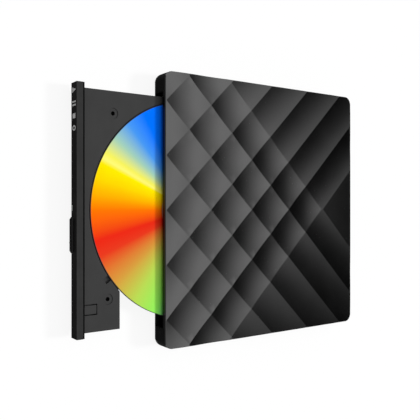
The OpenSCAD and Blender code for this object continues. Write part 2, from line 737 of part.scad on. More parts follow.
// Moulded tray: plate with the disc recess, ear, walls, windows and posts
module tray() {
  pocket_r = 2.8;
  pocket_hole_r = 1.1;
  pocket_hole_l = 1.9;
  pockets = [[-tray_w/2 + 11.5, tray_y + 16.3], [tray_w/2 - 15.9, tray_y + 13.3]];
  notch_at = 35;
  rib_places = [-0.6, -0.3, 0];
  tray_rib = 0.9;
  color("#3d3d3f") in_tray() difference() {
    union() {
      difference() {
        union() {
          block([-tray_w/2, tray_right], [tray_y, tray_end], [under_z, rim_z]);
          block([tray_right - 1, tray_w/2], [tray_y, ear_end], [ear_z, rim_z]);
        }
        translate([0, disc_y, seat_z]) cylinder(h = 10, r = disc_r + recess_gap, $fn = 180);
        translate([0, disc_y, 0]) pickup_window();
      }
      for (x = [wall_left, wall_right - tray_wall])
        block([x, x + tray_wall], [tray_y, tray_end], [belly_top, under_z + eps]);
      for (s = [-1, 1]) {
        face = s < 0 ? wall_left : wall_right;
        reach = s*(tongue + rail_gap/2);
        block([min(face, face + reach), max(face, face + reach)], [tray_y + 2, tray_end],
              [rail_mid - tongue_h/2, rail_mid + tongue_h/2]);
      }
      for (y = [tray_y, tray_end - tray_wall])
        block([wall_left, wall_right], [y, y + tray_wall], [belly_top, under_z + eps]);
      for (y = rib_places*disc_r)
        block([wall_left + eps, frame_left - 0.6], [disc_y + y, disc_y + y + tray_rib],
              [frame_z, under_z + eps]);
      translate([0, disc_y, 0]) {
        for (p = belly_screw_spots) translate([p[0], p[1], belly_top])
          cylinder(h = under_z - belly_top + eps, r = 2);
        for (p = damper_spots) translate([p[0], p[1], belly_top + 0.1])
          cylinder(h = under_z - belly_top, r = 1.2, $fn = 32);
        translate([lock_pivot[0], lock_pivot[1], belly_top + 0.1])
          cylinder(h = under_z - belly_top, r = lock_pin_r, $fn = 32);
        for (x = main_board[0], y = main_board[1])
          translate([x + (x == main_board[0][0] ? 2 : -2), y + (y == main_board[1][0] ? 2 : -2),
                     frame_z + board_t])
            cylinder(h = under_z - frame_z - board_t + eps, r = 1.5, $fn = 32);
      }
    }
    translate([0, disc_y, 0]) for (p = belly_screw_spots)
      translate([p[0], p[1], belly_top - 1]) cylinder(h = 3, r = 0.7 + fit/2, $fn = 32);
    for (p = pockets) translate([p[0], p[1], 0]) {
      translate([0, 0, rim_z - 0.4]) cylinder(h = 5, r = pocket_r);
      translate([0, 0, rim_z - pocket_hole_l]) cylinder(h = top_z, r = pocket_hole_r, $fn = 32);
    }
    // window for the bezel's hook, wider than the hook by a slot on each side
    block([hook_x - hook_w/2 - hook_slot, hook_x + hook_w/2 + hook_slot],
          [tray_y - 1, tray_y + hook_l + 0.4], [rim_z - hook_t - 0.9, rim_z + 1]);
    // finger notch in the rim of the recess
    translate([0, disc_y, seat_z]) rotate(notch_at - 90) translate([disc_r - 2, -1.6, 0])
      cube([5.4, 3.2, 5]);
    // openings for the switch strip and for the lock
    block([strip_x[0] - 0.4, strip_x[1] + 0.4], [tray_y - 1, tray_y + tray_wall + 1],
          [belly_top - 1, under_z - 0.1]);
    block([lock_pivot[0] - 4, lock_pivot[0] + 8.4], [tray_end - tray_wall - 1, tray_end + 1],
          [belly_top - 1, under_z - 0.1]);
  }
}

// Opening in the tray's floor for the spindle, the pickup and its drive. It goes right through under the
// disc only. Past the disc's edge it stays below the recess, and then below the land
module pickup_window() {
  x = [window_left, window_right];
  y = [-window_front, -rod_rear + 3];
  skin = 0.9;
  intersection() {
    block(x, y, [0, top_z]);
    cylinder(h = top_z, r = disc_r + 0.2, $fn = 180);
  }
  block(x, y, [0, lip_z]);
  difference() {
    block(x, y, [0, rim_z - skin]);
    translate([0, 0, -1]) cylinder(h = top_z + 2, r = disc_r + recess_gap + 0.8, $fn = 180);
  }
  cylinder(h = top_z, r = turntable_r + 1.2);
}

// Bezel: a hollow bar with a round lower edge, a stepped top edge, hook, button slot and lamp hole
module bezel() {
  edge = 2.6;
  color("#131314") in_tray() difference() {
    union() {
      translate([-bezel_w/2, 0, bezel_z]) rotate([90, 0, 90]) linear_extrude(bezel_w) difference() {
        union() {
          translate([edge, 0]) square([bezel_t - edge, bezel_h - bezel_lip_drop]);
          translate([0, edge]) square([bezel_t - bezel_lip_t, bezel_h - edge]);
          intersection() {
            translate([edge, edge]) circle(edge);
            square(edge);
          }
        }
        translate([bezel_skin, bezel_skin]) square([bezel_t, under_z - bezel_z - bezel_skin]);
      }
      for (x = [-bezel_w/2, bezel_w/2 - bezel_skin])
        block([x, x + bezel_skin], [bezel_skin, bezel_t], [bezel_z + bezel_skin - eps, under_z + eps]);
      block([hook_x - hook_w/2, hook_x + hook_w/2], [bezel_t - 1, bezel_t + hook_l],
            [rim_z - 0.1 - hook_t, rim_z - 0.1]);
    }
    block([button_x - button_l/2 - button_gap, button_x + button_l/2 + button_gap], [-1, bezel_t + 1],
          [button_z - button_h/2 - button_gap, button_z + button_h/2 + button_gap]);
    block([lamp_x - lamp_w/2 - fit/2, lamp_x + lamp_w/2 + fit/2], [-1, bezel_t + 1],
          [button_z - lamp_h/2 - fit/2, button_z + lamp_h/2 + fit/2]);
    translate([pin_hole_x, -1, button_z]) rotate([-90, 0, 0])
      cylinder(h = bezel_t + 2, r = pin_hole_r, $fn = 32);
  }
}

// Eject button with its dot and the stem that reaches the switch
module eject_button() {
  face_y = -button_proud;
  slope = 1.2;
  stem_w = 3;
  stem_h = 1.6;
  color("#0f0f10") in_tray() {
    translate([button_x, 0, button_z - button_h/2]) linear_extrude(button_h) polygon([
      [-button_l/2, bezel_skin + 0.8], [-button_l/2, 0.1], [slope - button_l/2, face_y],
      [button_l/2 - slope, face_y], [button_l/2, 0.1], [button_l/2, bezel_skin + 0.8]]);
    block([button_x - stem_w/2, button_x + stem_w/2],
          [bezel_skin, strip_y - switch_t - button_travel - 0.1],
          [button_z - stem_h/2, button_z + stem_h/2]);
    translate([dot_x, face_y + eps, button_z]) rotate([90, 0, 0])
      cylinder(h = dot_proud + eps, r1 = dot_r, r2 = 0.6*dot_r, $fn = 32);
  }
}

module lamp_pipe() {
  color("#cfd6d2") in_tray()
    block([lamp_x - lamp_w/2, lamp_x + lamp_w/2], [0.05, strip_y - 0.6],
          [button_z - lamp_h/2, button_z + lamp_h/2]);
}

// Narrow upright board behind the bezel that carries the switch and the lamp
module front_strip() {
  color("#1f5a34") in_tray() block(strip_x, [strip_y, strip_y + strip_t], [belly_top + 0.1, under_z - 0.2]);
}

module eject_switch() {
  color("#d9d9d6") in_tray()
    block([button_x - switch_w/2, button_x + switch_w/2], [strip_y - switch_t, strip_y],
          [belly_top + 0.2, under_z - 0.3]);
}

// Steel plate that closes the tray from below
module belly_plate() {
  color("#a4a7a9") in_tray() difference() {
    block([wall_left + fit, wall_right - fit], [tray_y + 0.3, tray_end - fit], [tray_z, belly_top]);
    translate([0, disc_y, 0]) for (p = belly_screw_spots) translate([p[0], p[1], 0])
      cylinder(h = belly_top + 1, r = 0.9, $fn = 32);
  }
}

module belly_screws() {
  color("silver") at_spindle() for (p = belly_screw_spots)
    translate([p[0], p[1], tray_z - 0.4]) screw(1.5, 0.4, 0.7, 2.2);
}

module main_board() {
  color("#1f5a34") at_spindle() block(main_board[0], main_board[1], [frame_z, frame_z + board_t]);
}

// Controller, motor driver and memory on the main board
module main_chips() {
  board_w = main_board[0][1] - main_board[0][0];
  board_d = main_board[1][1] - main_board[1][0];
  places = [[0.32, 0.5], [0.62, 0.42], [0.82, 0.58]];
  sizes = [[12, 12], [9, 9], [5, 7]]*chip_scale;
  color("#111113") at_spindle() for (i = [0:2])
    translate([main_board[0][0] + places[i][0]*board_w, main_board[1][0] + places[i][1]*board_d,
               frame_z + board_t]) linear_extrude(chip_t) square(sizes[i], center = true);
}

// Pressed frame that floats on the dampers and carries the spindle, rods and sled motor
module mech_frame() {
  end_t = 2.4;
  color("#7f8284") at_spindle() difference() {
    union() {
      difference() {
        block([frame_left, frame_right], [-frame_front, frame_rear], [frame_z, frame_top]);
        block([-bay_half, bay_half], [-bay_front, -bay_rear], [0, top_z]);
      }
      translate([0, 0, frame_z]) cylinder(h = frame_t, r = motor_r);
      for (x = [-rod_x, rod_x], y = [-frame_front, -rod_rear - end_t])
        block([x - rod_r - 0.8, x + rod_r + 0.8], [y, y + end_t], [frame_top - eps, rod_z + 0.2]);
      block([screw_x - 1.4, screw_x + 1.4], [-rod_rear - 1.5, -rod_rear], [frame_top - eps, screw_z + 0.2]);
    }
    for (x = [-rod_x, rod_x]) translate([x, 0, rod_z]) rotate([90, 0, 0])
      cylinder(h = frame_front + 1, r = rod_r + 0.02, $fn = 32);
    translate([screw_x, 0, screw_z]) rotate([90, 0, 0])
      cylinder(h = frame_front, r = screw_r + running, $fn = 32);
    for (p = damper_spots) translate([p[0], p[1], 0]) cylinder(h = top_z, r = damper_neck_r + 0.05);
    translate([0, 0, -eps]) cylinder(h = top_z, r = sleeve_r + 0.05);
  }
}

// Rubber spool that the frame hangs on
module damper(i) {
  low = belly_top + 0.1;
  high = under_z - 0.1;
  color("#1c1c1e") at_spindle() translate([damper_spots[i][0], damper_spots[i][1], 0]) rotate_extrude()
    polygon([[damper_bore_r, low], [damper_r, low], [damper_r, frame_z], [damper_neck_r, frame_z],
             [damper_neck_r, frame_top], [damper_r, frame_top], [damper_r, high], [damper_bore_r, high]]);
}

// Polished rod that the sled runs on
module rod(x) {
  color("#e2e4e6") at_spindle() translate([x, -rod_rear, rod_z]) rotate([90, 0, 0])
    cylinder(h = frame_front - rod_rear, r = rod_r, $fn = 48);
}
module left_rod() { rod(-rod_x); }
module right_rod() { rod(rod_x); }

// Heights of the motor, from the frame up to the disc
grip_t = 0.25;
table_t = 0.5;
table_z = disc_z - grip_t - table_t;
sleeve_top = table_z - 0.3;

// Motor base with the bearing sleeve
module spindle_base() {
  color("#b98c4a") at_spindle() difference() {
    union() {
      translate([0, 0, frame_top]) cylinder(h = 0.3, r = motor_r - 0.4);
      translate([0, 0, frame_z]) cylinder(h = sleeve_top - frame_z, r = sleeve_r);
    }
    translate([0, 0, frame_z + 0.3]) cylinder(h = top_z, r = shaft_r + running, $fn = 48);
  }
}

// Stator with nine teeth
module stator() {
  core_r = 4.2;
  tooth_w = 1.1;
  tip_r = rotor_r - 2;
  color("#a8632c") at_spindle() translate([0, 0, frame_top + 0.5]) difference() {
    linear_extrude(sleeve_top - frame_top - 0.9) {
      circle(core_r);
      for (k = [0:8]) rotate(k*40) translate([0, -tooth_w/2]) square([tip_r - 0.6, tooth_w]);
      for (k = [0:8]) rotate(k*40) intersection() {
        difference() { circle(tip_r); circle(tip_r - 0.8); }
        translate([0, -2]) square([tip_r + 1, 4]);
      }
    }
    translate([0, 0, -1]) cylinder(h = 10, r = sleeve_r + 0.03);
  }
}

// Rotor bell, its shaft and the table that the disc rests on
module turntable() {
  skirt_t = 0.5;
  color("#c3c6c8") at_spindle() {
    translate([0, 0, table_z]) cylinder(h = table_t, r = turntable_r);
    difference() {
      translate([0, 0, frame_top + 0.6]) cylinder(h = table_z - frame_top - 0.6 + eps, r = rotor_r);
      translate([0, 0, frame_top]) cylinder(h = table_z - frame_top - eps, r = rotor_r - skirt_t);
    }
    translate([0, 0, frame_z + 0.5]) cylinder(h = table_z - frame_z - 0.5 + eps, r = shaft_r, $fn = 48);
  }
}

module rotor_magnet() {
  color("#4a4a4c") at_spindle() translate([0, 0, frame_top + 0.7]) difference() {
    cylinder(h = table_z - frame_top - 1, r = rotor_r - 0.55);
    translate([0, 0, -1]) cylinder(h = 10, r = rotor_r - 1.5);
  }
}

// Rubber ring that grips the disc
module grip_ring() {
  color("#1a1a1b") at_spindle() translate([0, 0, table_z + table_t]) difference() {
    cylinder(h = grip_t, r = turntable_r - 0.2);
    translate([0, 0, -1]) cylinder(h = 3, r = turntable_r - 2.8);
  }
}

// Hub that centres the disc, with three sprung claws
module hub() {
  hub_r = disc_hole_d/2 - 0.12;
  low = table_z + table_t;
  high = disc_top + hub_proud;
  dome = 0.8;
  claw_w = 2.6;
  color("#d5d6d3") at_spindle() difference() {
    translate([0, 0, low]) rotate_extrude() union() {
      square([hub_r - dome, high - low]);
      square([hub_r, high - low - dome]);
      translate([hub_r - dome, high - low - dome]) intersection() {
        circle(dome);
        square(dome);
      }
    }
    translate([0, 0, high - 0.5]) cylinder(h = 2, r = 2.6);
    for (k = [0:2]) rotate(90 + 120*k) for (side = [-1, 1])
      translate([2.9, side*(claw_w/2 + 0.2) - 0.2, low + 0.6]) cube([hub_r, 0.4, 5]);
  }
}

// Disc with its stacking ring and bevelled rims
module disc() {
  hole_r = disc_hole_d/2;
  ring_r = 17;
  bevel = 0.15;
  color("#c9ced6") at_spindle() translate([0, 0, disc_z]) rotate_extrude($fn = 180) union() {
    polygon([[hole_r, 0], [disc_r - bevel, 0], [disc_r, bevel], [disc_r, disc_t - bevel],
             [disc_r - bevel, disc_t], [hole_r, disc_t]]);
    translate([ring_r, -0.15]) square([0.6, 0.3]);
  }
}

// Pickup sled: die-cast body, bearings on the main rod, fork on the other, saddle over the lead screw
module sled() {
  body_low = belly_top + 0.3;
  ear_low = frame_top + 0.15;
  ear_top = rod_z + rod_r + 0.6;
  bore = rod_r + running;
  y0 = -lens_park_r - sled_front;
  y1 = -lens_park_r + sled_rear;
  mid = (y0 + y1)/2;
  bearing_l = 4.5;
  color("#9b9fa3") at_spindle() difference() {
    union() {
      block([-bay_half + 0.6, bay_half - 0.6], [y0 + 5.4, y1], [body_low, ear_low + eps]);
      block([-rod_x + 2.4, rod_x - 2.4], [y0, y1], [ear_low, sled_top]);
      for (y = [y0 + 6.4, y1 - bearing_l])
        block([-rod_x - 2.2, -rod_x + 3.4], [y, y + bearing_l], [ear_low, ear_top]);
      block([rod_x - 3.4, rod_x + 1.8], [mid - 1, mid + 4.4], [ear_low, ear_top]);
      block([screw_x - 1.6, -rod_x - 2], [y1 - bearing_l, y1], [ear_low, screw_z + screw_r + 0.8]);
    }
    translate([-rod_x, 0, rod_z]) rotate([90, 0, 0]) cylinder(h = 100, r = bore, $fn = 48);
    block([rod_x - bore, rod_x + 5], [-100, 0], [rod_z - bore, rod_z + bore]);
    translate([screw_x, 0, screw_z]) rotate([90, 0, 0]) cylinder(h = 100, r = screw_r + 0.15, $fn = 32);
    block([screw_x - screw_r - 0.15, screw_x + screw_r + 0.15], [-100, 0], [0, screw_z]);
    cylinder(h = top_z, r = motor_r + 0.6);
    translate([0, -lens_park_r, sled_top - 0.8]) cylinder(h = 3, r = lens_r + 0.9);
    for (s = [-1, 1]) block([s*10.5 - 3.5, s*10.5 + 3.5], [y0 - 1, y1 + 1], [sled_top - 0.7, sled_top + 1]);
  }
}

// Objective lens in its ring
module lens() {
  color("#86a8c8") at_spindle() translate([0, -lens_park_r, sled_top - 0.8]) rotate_extrude() union() {
    square([lens_r, 0.7]);
    intersection() {
      translate([0, 0.7 - 3.4]) circle(4);
      square([lens_r, 3]);
    }
  }
}

// Flat sled motor, lying in front of its screw
motor_l = 8;
module sled_motor() {
  color("#b4b7ba") at_spindle() translate([screw_x, -frame_front, screw_z]) difference() {
    slot_cut(5, 2.1, motor_l);
    translate([0, 1, 0]) rotate([-90, 0, 0]) cylinder(h = motor_l, r = screw_r + running, $fn = 32);
  }
}

module lead_screw() {
  color("#d7d9db") at_spindle() translate([screw_x, -rod_rear, screw_z]) rotate([90, 0, 0])
    cylinder(h = frame_front - rod_rear - 3, r = screw_r, $fn = 32);
}

// Solenoid that pulls the lock open
module lock_solenoid() {
  color("#77401f") at_spindle() translate([lock_pivot[0] - 0.5, lock_pivot[1] - 10.5, belly_top + 0.1]) {
    block([-5, 5], [-3.4, 3.4], [0, 2]);
    block([-1, 1], [3.3, 5.2], [0.5, 1.5]);
  }
}

// Lock lever, turning on a pin of the tray, with a hook at the far end
module lock_lever() {
  arm_w = 2;
  hook_gap = 0.5;
  hook_y = lock_reach - 4 + post_r + hook_gap;
  color("#e3e1da") at_spindle() translate([lock_pivot[0], lock_pivot[1], lock_z]) difference() {
    union() {
      cylinder(h = lock_t, r = 2);
      block([-1, 1], [-4.6, 0], [0, lock_t]);
      block([0, 3], [-1, 1], [0, lock_t]);
      block([1.6, 1.6 + arm_w], [-1, lock_reach], [0, lock_t]);
      block([-post_r - hook_gap, 1.6 + arm_w], [hook_y, lock_reach], [0, lock_t]);
    }
    translate([0, 0, -1]) cylinder(h = 3, r = lock_pin_r + running, $fn = 32);
  }
}

top_cover();
bottom_cover();
case_screws();
for (i = [0:3]) foot(i);
drive_chassis();
drive_top_plate();
chassis_screws();
left_guide();
right_guide();
lock_post();
dock_board();
drive_plug();
bridge_board();
bridge_socket();
bridge_chips();
bridge_screws();
cable_socket();
flex_cable();
left_rail();
right_rail();
tray();
bezel();
belly_plate();
belly_screws();
lamp_pipe();
front_strip();
eject_switch();
main_board();
main_chips();
mech_frame();
for (i = [0:3]) damper(i);
left_rod();
right_rod();
spindle_base();
stator();
sled_motor();
lock_solenoid();
eject_button();
turntable();
rotor_magnet();
grip_ring();
hub();
disc();
sled();
lens();
lead_screw();
lock_lever();
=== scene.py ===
import json
import math
import bpy
from mathutils import Matrix, Vector


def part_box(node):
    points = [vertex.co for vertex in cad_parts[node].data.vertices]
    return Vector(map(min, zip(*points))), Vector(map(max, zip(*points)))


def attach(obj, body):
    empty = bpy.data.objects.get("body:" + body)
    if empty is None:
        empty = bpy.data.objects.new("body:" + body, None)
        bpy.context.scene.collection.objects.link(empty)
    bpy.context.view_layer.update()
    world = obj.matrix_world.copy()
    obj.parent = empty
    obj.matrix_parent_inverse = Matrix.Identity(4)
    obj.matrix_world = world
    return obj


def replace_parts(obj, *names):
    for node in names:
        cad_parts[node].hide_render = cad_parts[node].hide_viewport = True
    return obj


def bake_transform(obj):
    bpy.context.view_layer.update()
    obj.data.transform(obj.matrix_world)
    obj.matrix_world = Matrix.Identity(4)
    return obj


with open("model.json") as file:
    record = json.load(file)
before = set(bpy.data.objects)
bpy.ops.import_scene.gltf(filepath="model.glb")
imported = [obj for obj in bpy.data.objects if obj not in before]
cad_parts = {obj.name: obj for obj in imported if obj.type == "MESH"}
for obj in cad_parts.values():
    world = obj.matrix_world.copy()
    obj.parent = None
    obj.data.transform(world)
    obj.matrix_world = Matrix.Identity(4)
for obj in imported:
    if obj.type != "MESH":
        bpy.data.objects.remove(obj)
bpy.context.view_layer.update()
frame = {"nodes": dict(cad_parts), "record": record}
nodes = frame["nodes"]
scene = bpy.context.scene
mm = 0.001


# where the drive stands, read off the solids
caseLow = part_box("bottom_cover")[0]
bezelLow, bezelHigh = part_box("bezel")
trayLow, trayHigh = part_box("tray")
discLow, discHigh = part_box("disc")
spindle = (discLow + discHigh)/2


# node helpers: an input that is given a socket is linked to it, any other is set

def setInputs(tree, node, inputs):
    for socket, value in inputs.items():
        if isinstance(value, bpy.types.NodeSocket):
            tree.links.new(value, node.inputs[socket])
        else:
            node.inputs[socket].default_value = value


def addNode(tree, kind, inputs=None, **settings):
    node = tree.nodes.new(kind)
    for key, value in settings.items():
        setattr(node, key, value)
    setInputs(tree, node, inputs or {})
    return node


def mathOn(tree, operation, first, second=0.0, **settings):
    node = addNode(tree, "ShaderNodeMath", {0: first, 1: second}, operation=operation, **settings)
    return node.outputs[0]


def vectorOn(tree, operation, first, second=(0, 0, 0)):
    node = addNode(tree, "ShaderNodeVectorMath", {0: first, 1: second}, operation=operation)
    return node.outputs["Value" if operation in ("LENGTH", "DOT_PRODUCT") else "Vector"]


def mixOn(tree, factor, first, second, how="MIX"):
    node = addNode(tree, "ShaderNodeMix", {"Factor": factor, "A": first, "B": second},
                   data_type="RGBA", blend_type=how)
    return node.outputs["Result"]


# shader helpers

def newFinish(name, settings):
    mat = bpy.data.materials.new(name)
    mat.use_nodes = True
    tree = mat.node_tree
    shader = tree.nodes["Principled BSDF"]
    setInputs(tree, shader, settings)
    return mat, tree, shader


def gray(v):
    return (v, v, v, 1)


def objectSpace(tree, stretch=(1, 1, 1), shift=(0, 0, 0)):
    coord = addNode(tree, "ShaderNodeTexCoord")
    place = addNode(tree, "ShaderNodeMapping",
                    {"Vector": coord.outputs["Object"], "Scale": stretch, "Location": shift})
    return place.outputs["Vector"]


def noiseAt(tree, vector, scale, detail=3.0, roughness=0.55):
    node = addNode(tree, "ShaderNodeTexNoise",
                   {"Vector": vector, "Scale": scale, "Detail": detail, "Roughness": roughness})
    return node.outputs["Fac"]


def rampOn(tree, fac, stops):
    node = addNode(tree, "ShaderNodeValToRGB", {"Fac": fac})
    band = node.color_ramp.elements
    while len(band) < len(stops):
        band.new(0.5)
    for element, (spot, colour) in zip(band, stops):
        element.position = spot
        element.color = colour
    return node.outputs["Color"]


def rangeOn(tree, value, low, high, fromLow=0.3, fromHigh=0.7):
    node = addNode(tree, "ShaderNodeMapRange", {"Value": value, "From Min": fromLow, "From Max": fromHigh,
                                                "To Min": low, "To Max": high})
    return node.outputs["Result"]


def bumpOn(tree, height, depth):
    node = addNode(tree, "ShaderNodeBump", {"Height": height, "Strength": 1.0, "Distance": depth})
    return node.outputs["Normal"]


# where a noise goes from the dark colour to the light one, and how fine the grain over it is
cloudEdge = (0.32, 0.68)
grainDetail = 2.0


# a moulded, cast, rolled or ground surface: cloudy colour, uneven gloss, fine grain
def grainFinish(name, look):
    mat, tree, shader = newFinish(name, look.get("shader", {}))
    space = objectSpace(tree, look.get("stretch", (1, 1, 1)))
    cloud = noiseAt(tree, space, look["cloudScale"])
    grain = noiseAt(tree, space, look["grainScale"], grainDetail)
    setInputs(tree, shader, {
        "Base Color": rampOn(tree, cloud, list(zip(cloudEdge, (look["dark"], look["light"])))),
        "Roughness": rangeOn(tree, cloud, *look["roughness"]),
        "Normal": bumpOn(tree, grain, look["grainDepth"])})
    return mat


finishes = {}

# mouldings of the case, the bezel and the tray
mouldings = {
    "lid_plastic": {"dark": gray(0.0022), "light": gray(0.0034), "roughness": (0.1, 0.13),
                    "cloudScale": 60, "grainScale": 2600, "grainDepth": 0.000002,
                    "shader": {"IOR": 1.55, "Specular IOR Level": 0.79}},
    "case_plastic": {"dark": gray(0.0050), "light": gray(0.0075), "roughness": (0.42, 0.54),
                     "cloudScale": 90, "grainScale": 1700, "grainDepth": 0.00002,
                     "shader": {"Specular IOR Level": 0.3}},
    # near-black, matt and unreflecting finish, painted as shade on the fronts that face away from the light,
    # the bezel's low ledge and the tray's pocket holes
    "painted_shade_black": {"dark": gray(0.0026), "light": gray(0.0040), "roughness": (0.60, 0.72),
                    "cloudScale": 90, "grainScale": 1700, "grainDepth": 0.00002,
                    "shader": {"Specular IOR Level": 0.02}},
    "bezel_plastic": {"dark": gray(0.0290), "light": gray(0.0350), "roughness": (0.58, 0.68),
                      "cloudScale": 80, "grainScale": 2100, "grainDepth": 0.00002,
                      "shader": {"Specular IOR Level": 0.06}},
    "tray_plastic": {"dark": gray(0.0400), "light": gray(0.0460), "roughness": (0.60, 0.70),
                     "cloudScale": 70, "grainScale": 2000, "grainDepth": 0.00002,
                     "shader": {"Specular IOR Level": 0.1}},
    "guide_plastic": {"dark": (0.58, 0.58, 0.54, 1), "light": (0.66, 0.66, 0.62, 1), "roughness": (0.40, 0.52),
                      "cloudScale": 120, "grainScale": 1500, "grainDepth": 0.00001},
    "white_plastic": {"dark": (0.66, 0.65, 0.61, 1), "light": (0.74, 0.73, 0.70, 1), "roughness": (0.38, 0.50),
                      "cloudScale": 160, "grainScale": 1800, "grainDepth": 0.00001},
    "connector_plastic": {"dark": gray(0.0090), "light": gray(0.0140), "roughness": (0.42, 0.56),
                          "cloudScale": 200, "grainScale": 2400, "grainDepth": 0.00001},
    "chip": {"dark": gray(0.0080), "light": gray(0.0130), "roughness": (0.55, 0.70),
             "cloudScale": 300, "grainScale": 4200, "grainDepth": 0.00001},
    "foot_rubber": {"dark": gray(0.105), "light": gray(0.140), "roughness": (0.78, 0.90),
                    "cloudScale": 240, "grainScale": 1300, "grainDepth": 0.00004,
                    "shader": {"Specular IOR Level": 0.25}},
    "damper_rubber": {"dark": gray(0.0100), "light": gray(0.0160), "roughness": (0.80, 0.92),
                      "cloudScale": 240, "grainScale": 1500, "grainDepth": 0.00004,
                      "shader": {"Specular IOR Level": 0.25}},
    "magnet": {"dark": gray(0.045), "light": gray(0.068), "roughness": (0.58, 0.72),
               "cloudScale": 400, "grainScale": 3000, "grainDepth": 0.00001},
}
for slotName, look in mouldings.items():
    finishes[slotName] = grainFinish(slotName, look)

# sheet, screws, ground rods, bearings and castings
metals = {
    "pressed_steel": {"dark": (0.36, 0.37, 0.38, 1), "light": (0.50, 0.51, 0.52, 1), "roughness": (0.30, 0.46),
                      "cloudScale": 160, "grainScale": 900, "grainDepth": 0.000006, "stretch": (1, 0.25, 1)},
    "screw_steel": {"dark": (0.48, 0.48, 0.49, 1), "light": (0.60, 0.60, 0.61, 1), "roughness": (0.24, 0.36),
                    "cloudScale": 500, "grainScale": 2500, "grainDepth": 0.000004},
    "bright_steel": {"dark": (0.70, 0.71, 0.72, 1), "light": (0.78, 0.79, 0.80, 1), "roughness": (0.10, 0.18),
                     "cloudScale": 400, "grainScale": 3000, "grainDepth": 0.000001, "stretch": (1, 0.05, 1)},
    "bearing_brass": {"dark": (0.48, 0.31, 0.10, 1), "light": (0.60, 0.40, 0.14, 1), "roughness": (0.34, 0.48),
                      "cloudScale": 500, "grainScale": 2600, "grainDepth": 0.000006},
    "cast_metal": {"dark": (0.34, 0.36, 0.37, 1), "light": (0.45, 0.47, 0.48, 1), "roughness": (0.48, 0.62),
                   "cloudScale": 220, "grainScale": 1400, "grainDepth": 0.00002},
}
for slotName, look in metals.items():
    look["shader"] = {"Metallic": 1.0}
    finishes[slotName] = grainFinish(slotName, look)
print("plain finishes:", len(finishes))


# solder mask: tracks show as lighter lines, vias as tin dots
boardLook = {"mask": (0.010, 0.070, 0.028, 1), "track": (0.020, 0.125, 0.050, 1),
             "tin": (0.62, 0.60, 0.54, 1), "trackScale": 85, "trackCount": 9.0, "trackEdge": (0.42, 0.50),
             "viaScale": 330, "viaEdge": (0.16, 0.20), "cloudScale": 220, "roughness": (0.28, 0.40),
             "relief": 0.00001, "shader": {"Specular IOR Level": 0.5}}


def boardFinish(name, look):
    mat, tree, shader = newFinish(name, look["shader"])
    space = objectSpace(tree)
    cells = addNode(tree, "ShaderNodeTexVoronoi", {"Vector": space, "Scale": look["trackScale"]},
                    feature="F1", distance="CHEBYCHEV")
    bands = mathOn(tree, "MULTIPLY", cells.outputs["Distance"], look["trackCount"])
    saw = mathOn(tree, "PINGPONG", bands, 1.0)
    track = rampOn(tree, saw, list(zip(look["trackEdge"], (look["mask"], look["track"]))))
    dots = addNode(tree, "ShaderNodeTexVoronoi", {"Vector": space, "Scale": look["viaScale"]}, feature="F1")
    via = rampOn(tree, dots.outputs["Distance"], list(zip(look["viaEdge"], (gray(1), gray(0)))))
    setInputs(tree, shader, {
        "Base Color": mixOn(tree, via, track, look["tin"]),
        "Metallic": via,
        "Roughness": rangeOn(tree, noiseAt(tree, space, look["cloudScale"]), *look["roughness"]),
        "Normal": bumpOn(tree, saw, look["relief"])})
    return mat


finishes["board"] = boardFinish("board", boardLook)


# bands across the width: conductors in a film, or turns of wire
bandEdge = (0.35, 0.60)
bandLooks = {
    "ribbon": {"dark": (0.30, 0.115, 0.012, 1), "light": (0.52, 0.235, 0.030, 1), "across": "X",
               "bandScale": 320, "cloudScale": 70, "roughness": (0.22, 0.34), "relief": 0.00001,
               "shader": {}},
    "copper_coil": {"dark": (0.26, 0.085, 0.030, 1), "light": (0.56, 0.23, 0.085, 1), "across": "Z",
                    "bandScale": 1400, "cloudScale": 300, "roughness": (0.24, 0.36), "relief": 0.00003,
                    "shader": {"Metallic": 0.8}},
}


def bandFinish(name, look):
    mat, tree, shader = newFinish(name, look["shader"])
    space = objectSpace(tree)
    waves = addNode(tree, "ShaderNodeTexWave",
                    {"Vector": space, "Scale": look["bandScale"], "Distortion": 0.0},
                    wave_type="BANDS", bands_direction=look["across"])
    band = waves.outputs["Fac"]
    setInputs(tree, shader, {
        "Base Color": rampOn(tree, band, list(zip(bandEdge, (look["dark"], look["light"])))),
        "Roughness": rangeOn(tree, noiseAt(tree, space, look["cloudScale"]), *look["roughness"]),
        "Normal": bumpOn(tree, band, look["relief"])})
    return mat


for slotName, look in bandLooks.items():
    finishes[slotName] = bandFinish(slotName, look)


# clear mouldings: the lamp's window and the lens
clearEdge = (0.3, 0.7)
ripplesPerCloud = 4
clearLooks = {
    "lamp": {"dark": (0.56, 0.62, 0.58, 1), "light": (0.66, 0.72, 0.68, 1), "cloudScale": 600,
             "roughness": (0.30, 0.42), "relief": 0.000004,
             "shader": {"Transmission Weight": 0.35, "IOR": 1.49}},
    "lens_glass": {"dark": (0.42, 0.58, 0.82, 1), "light": (0.60, 0.62, 0.86, 1), "cloudScale": 300,
                   "roughness": (0.03, 0.06), "relief": 0.000001,
                   "shader": {"Transmission Weight": 0.8, "IOR": 1.55}},
}


def clearFinish(name, look):
    mat, tree, shader = newFinish(name, look["shader"])
    space = objectSpace(tree)
    cloud = noiseAt(tree, space, look["cloudScale"])
    ripple = noiseAt(tree, space, look["cloudScale"]*ripplesPerCloud)
    setInputs(tree, shader, {
        "Base Color": rampOn(tree, cloud, list(zip(clearEdge, (look["dark"], look["light"])))),
        "Roughness": rangeOn(tree, cloud, *look["roughness"]),
        "Normal": bumpOn(tree, ripple, look["relief"])})
    return mat


for slotName, look in clearLooks.items():
    finishes[slotName] = clearFinish(slotName, look)
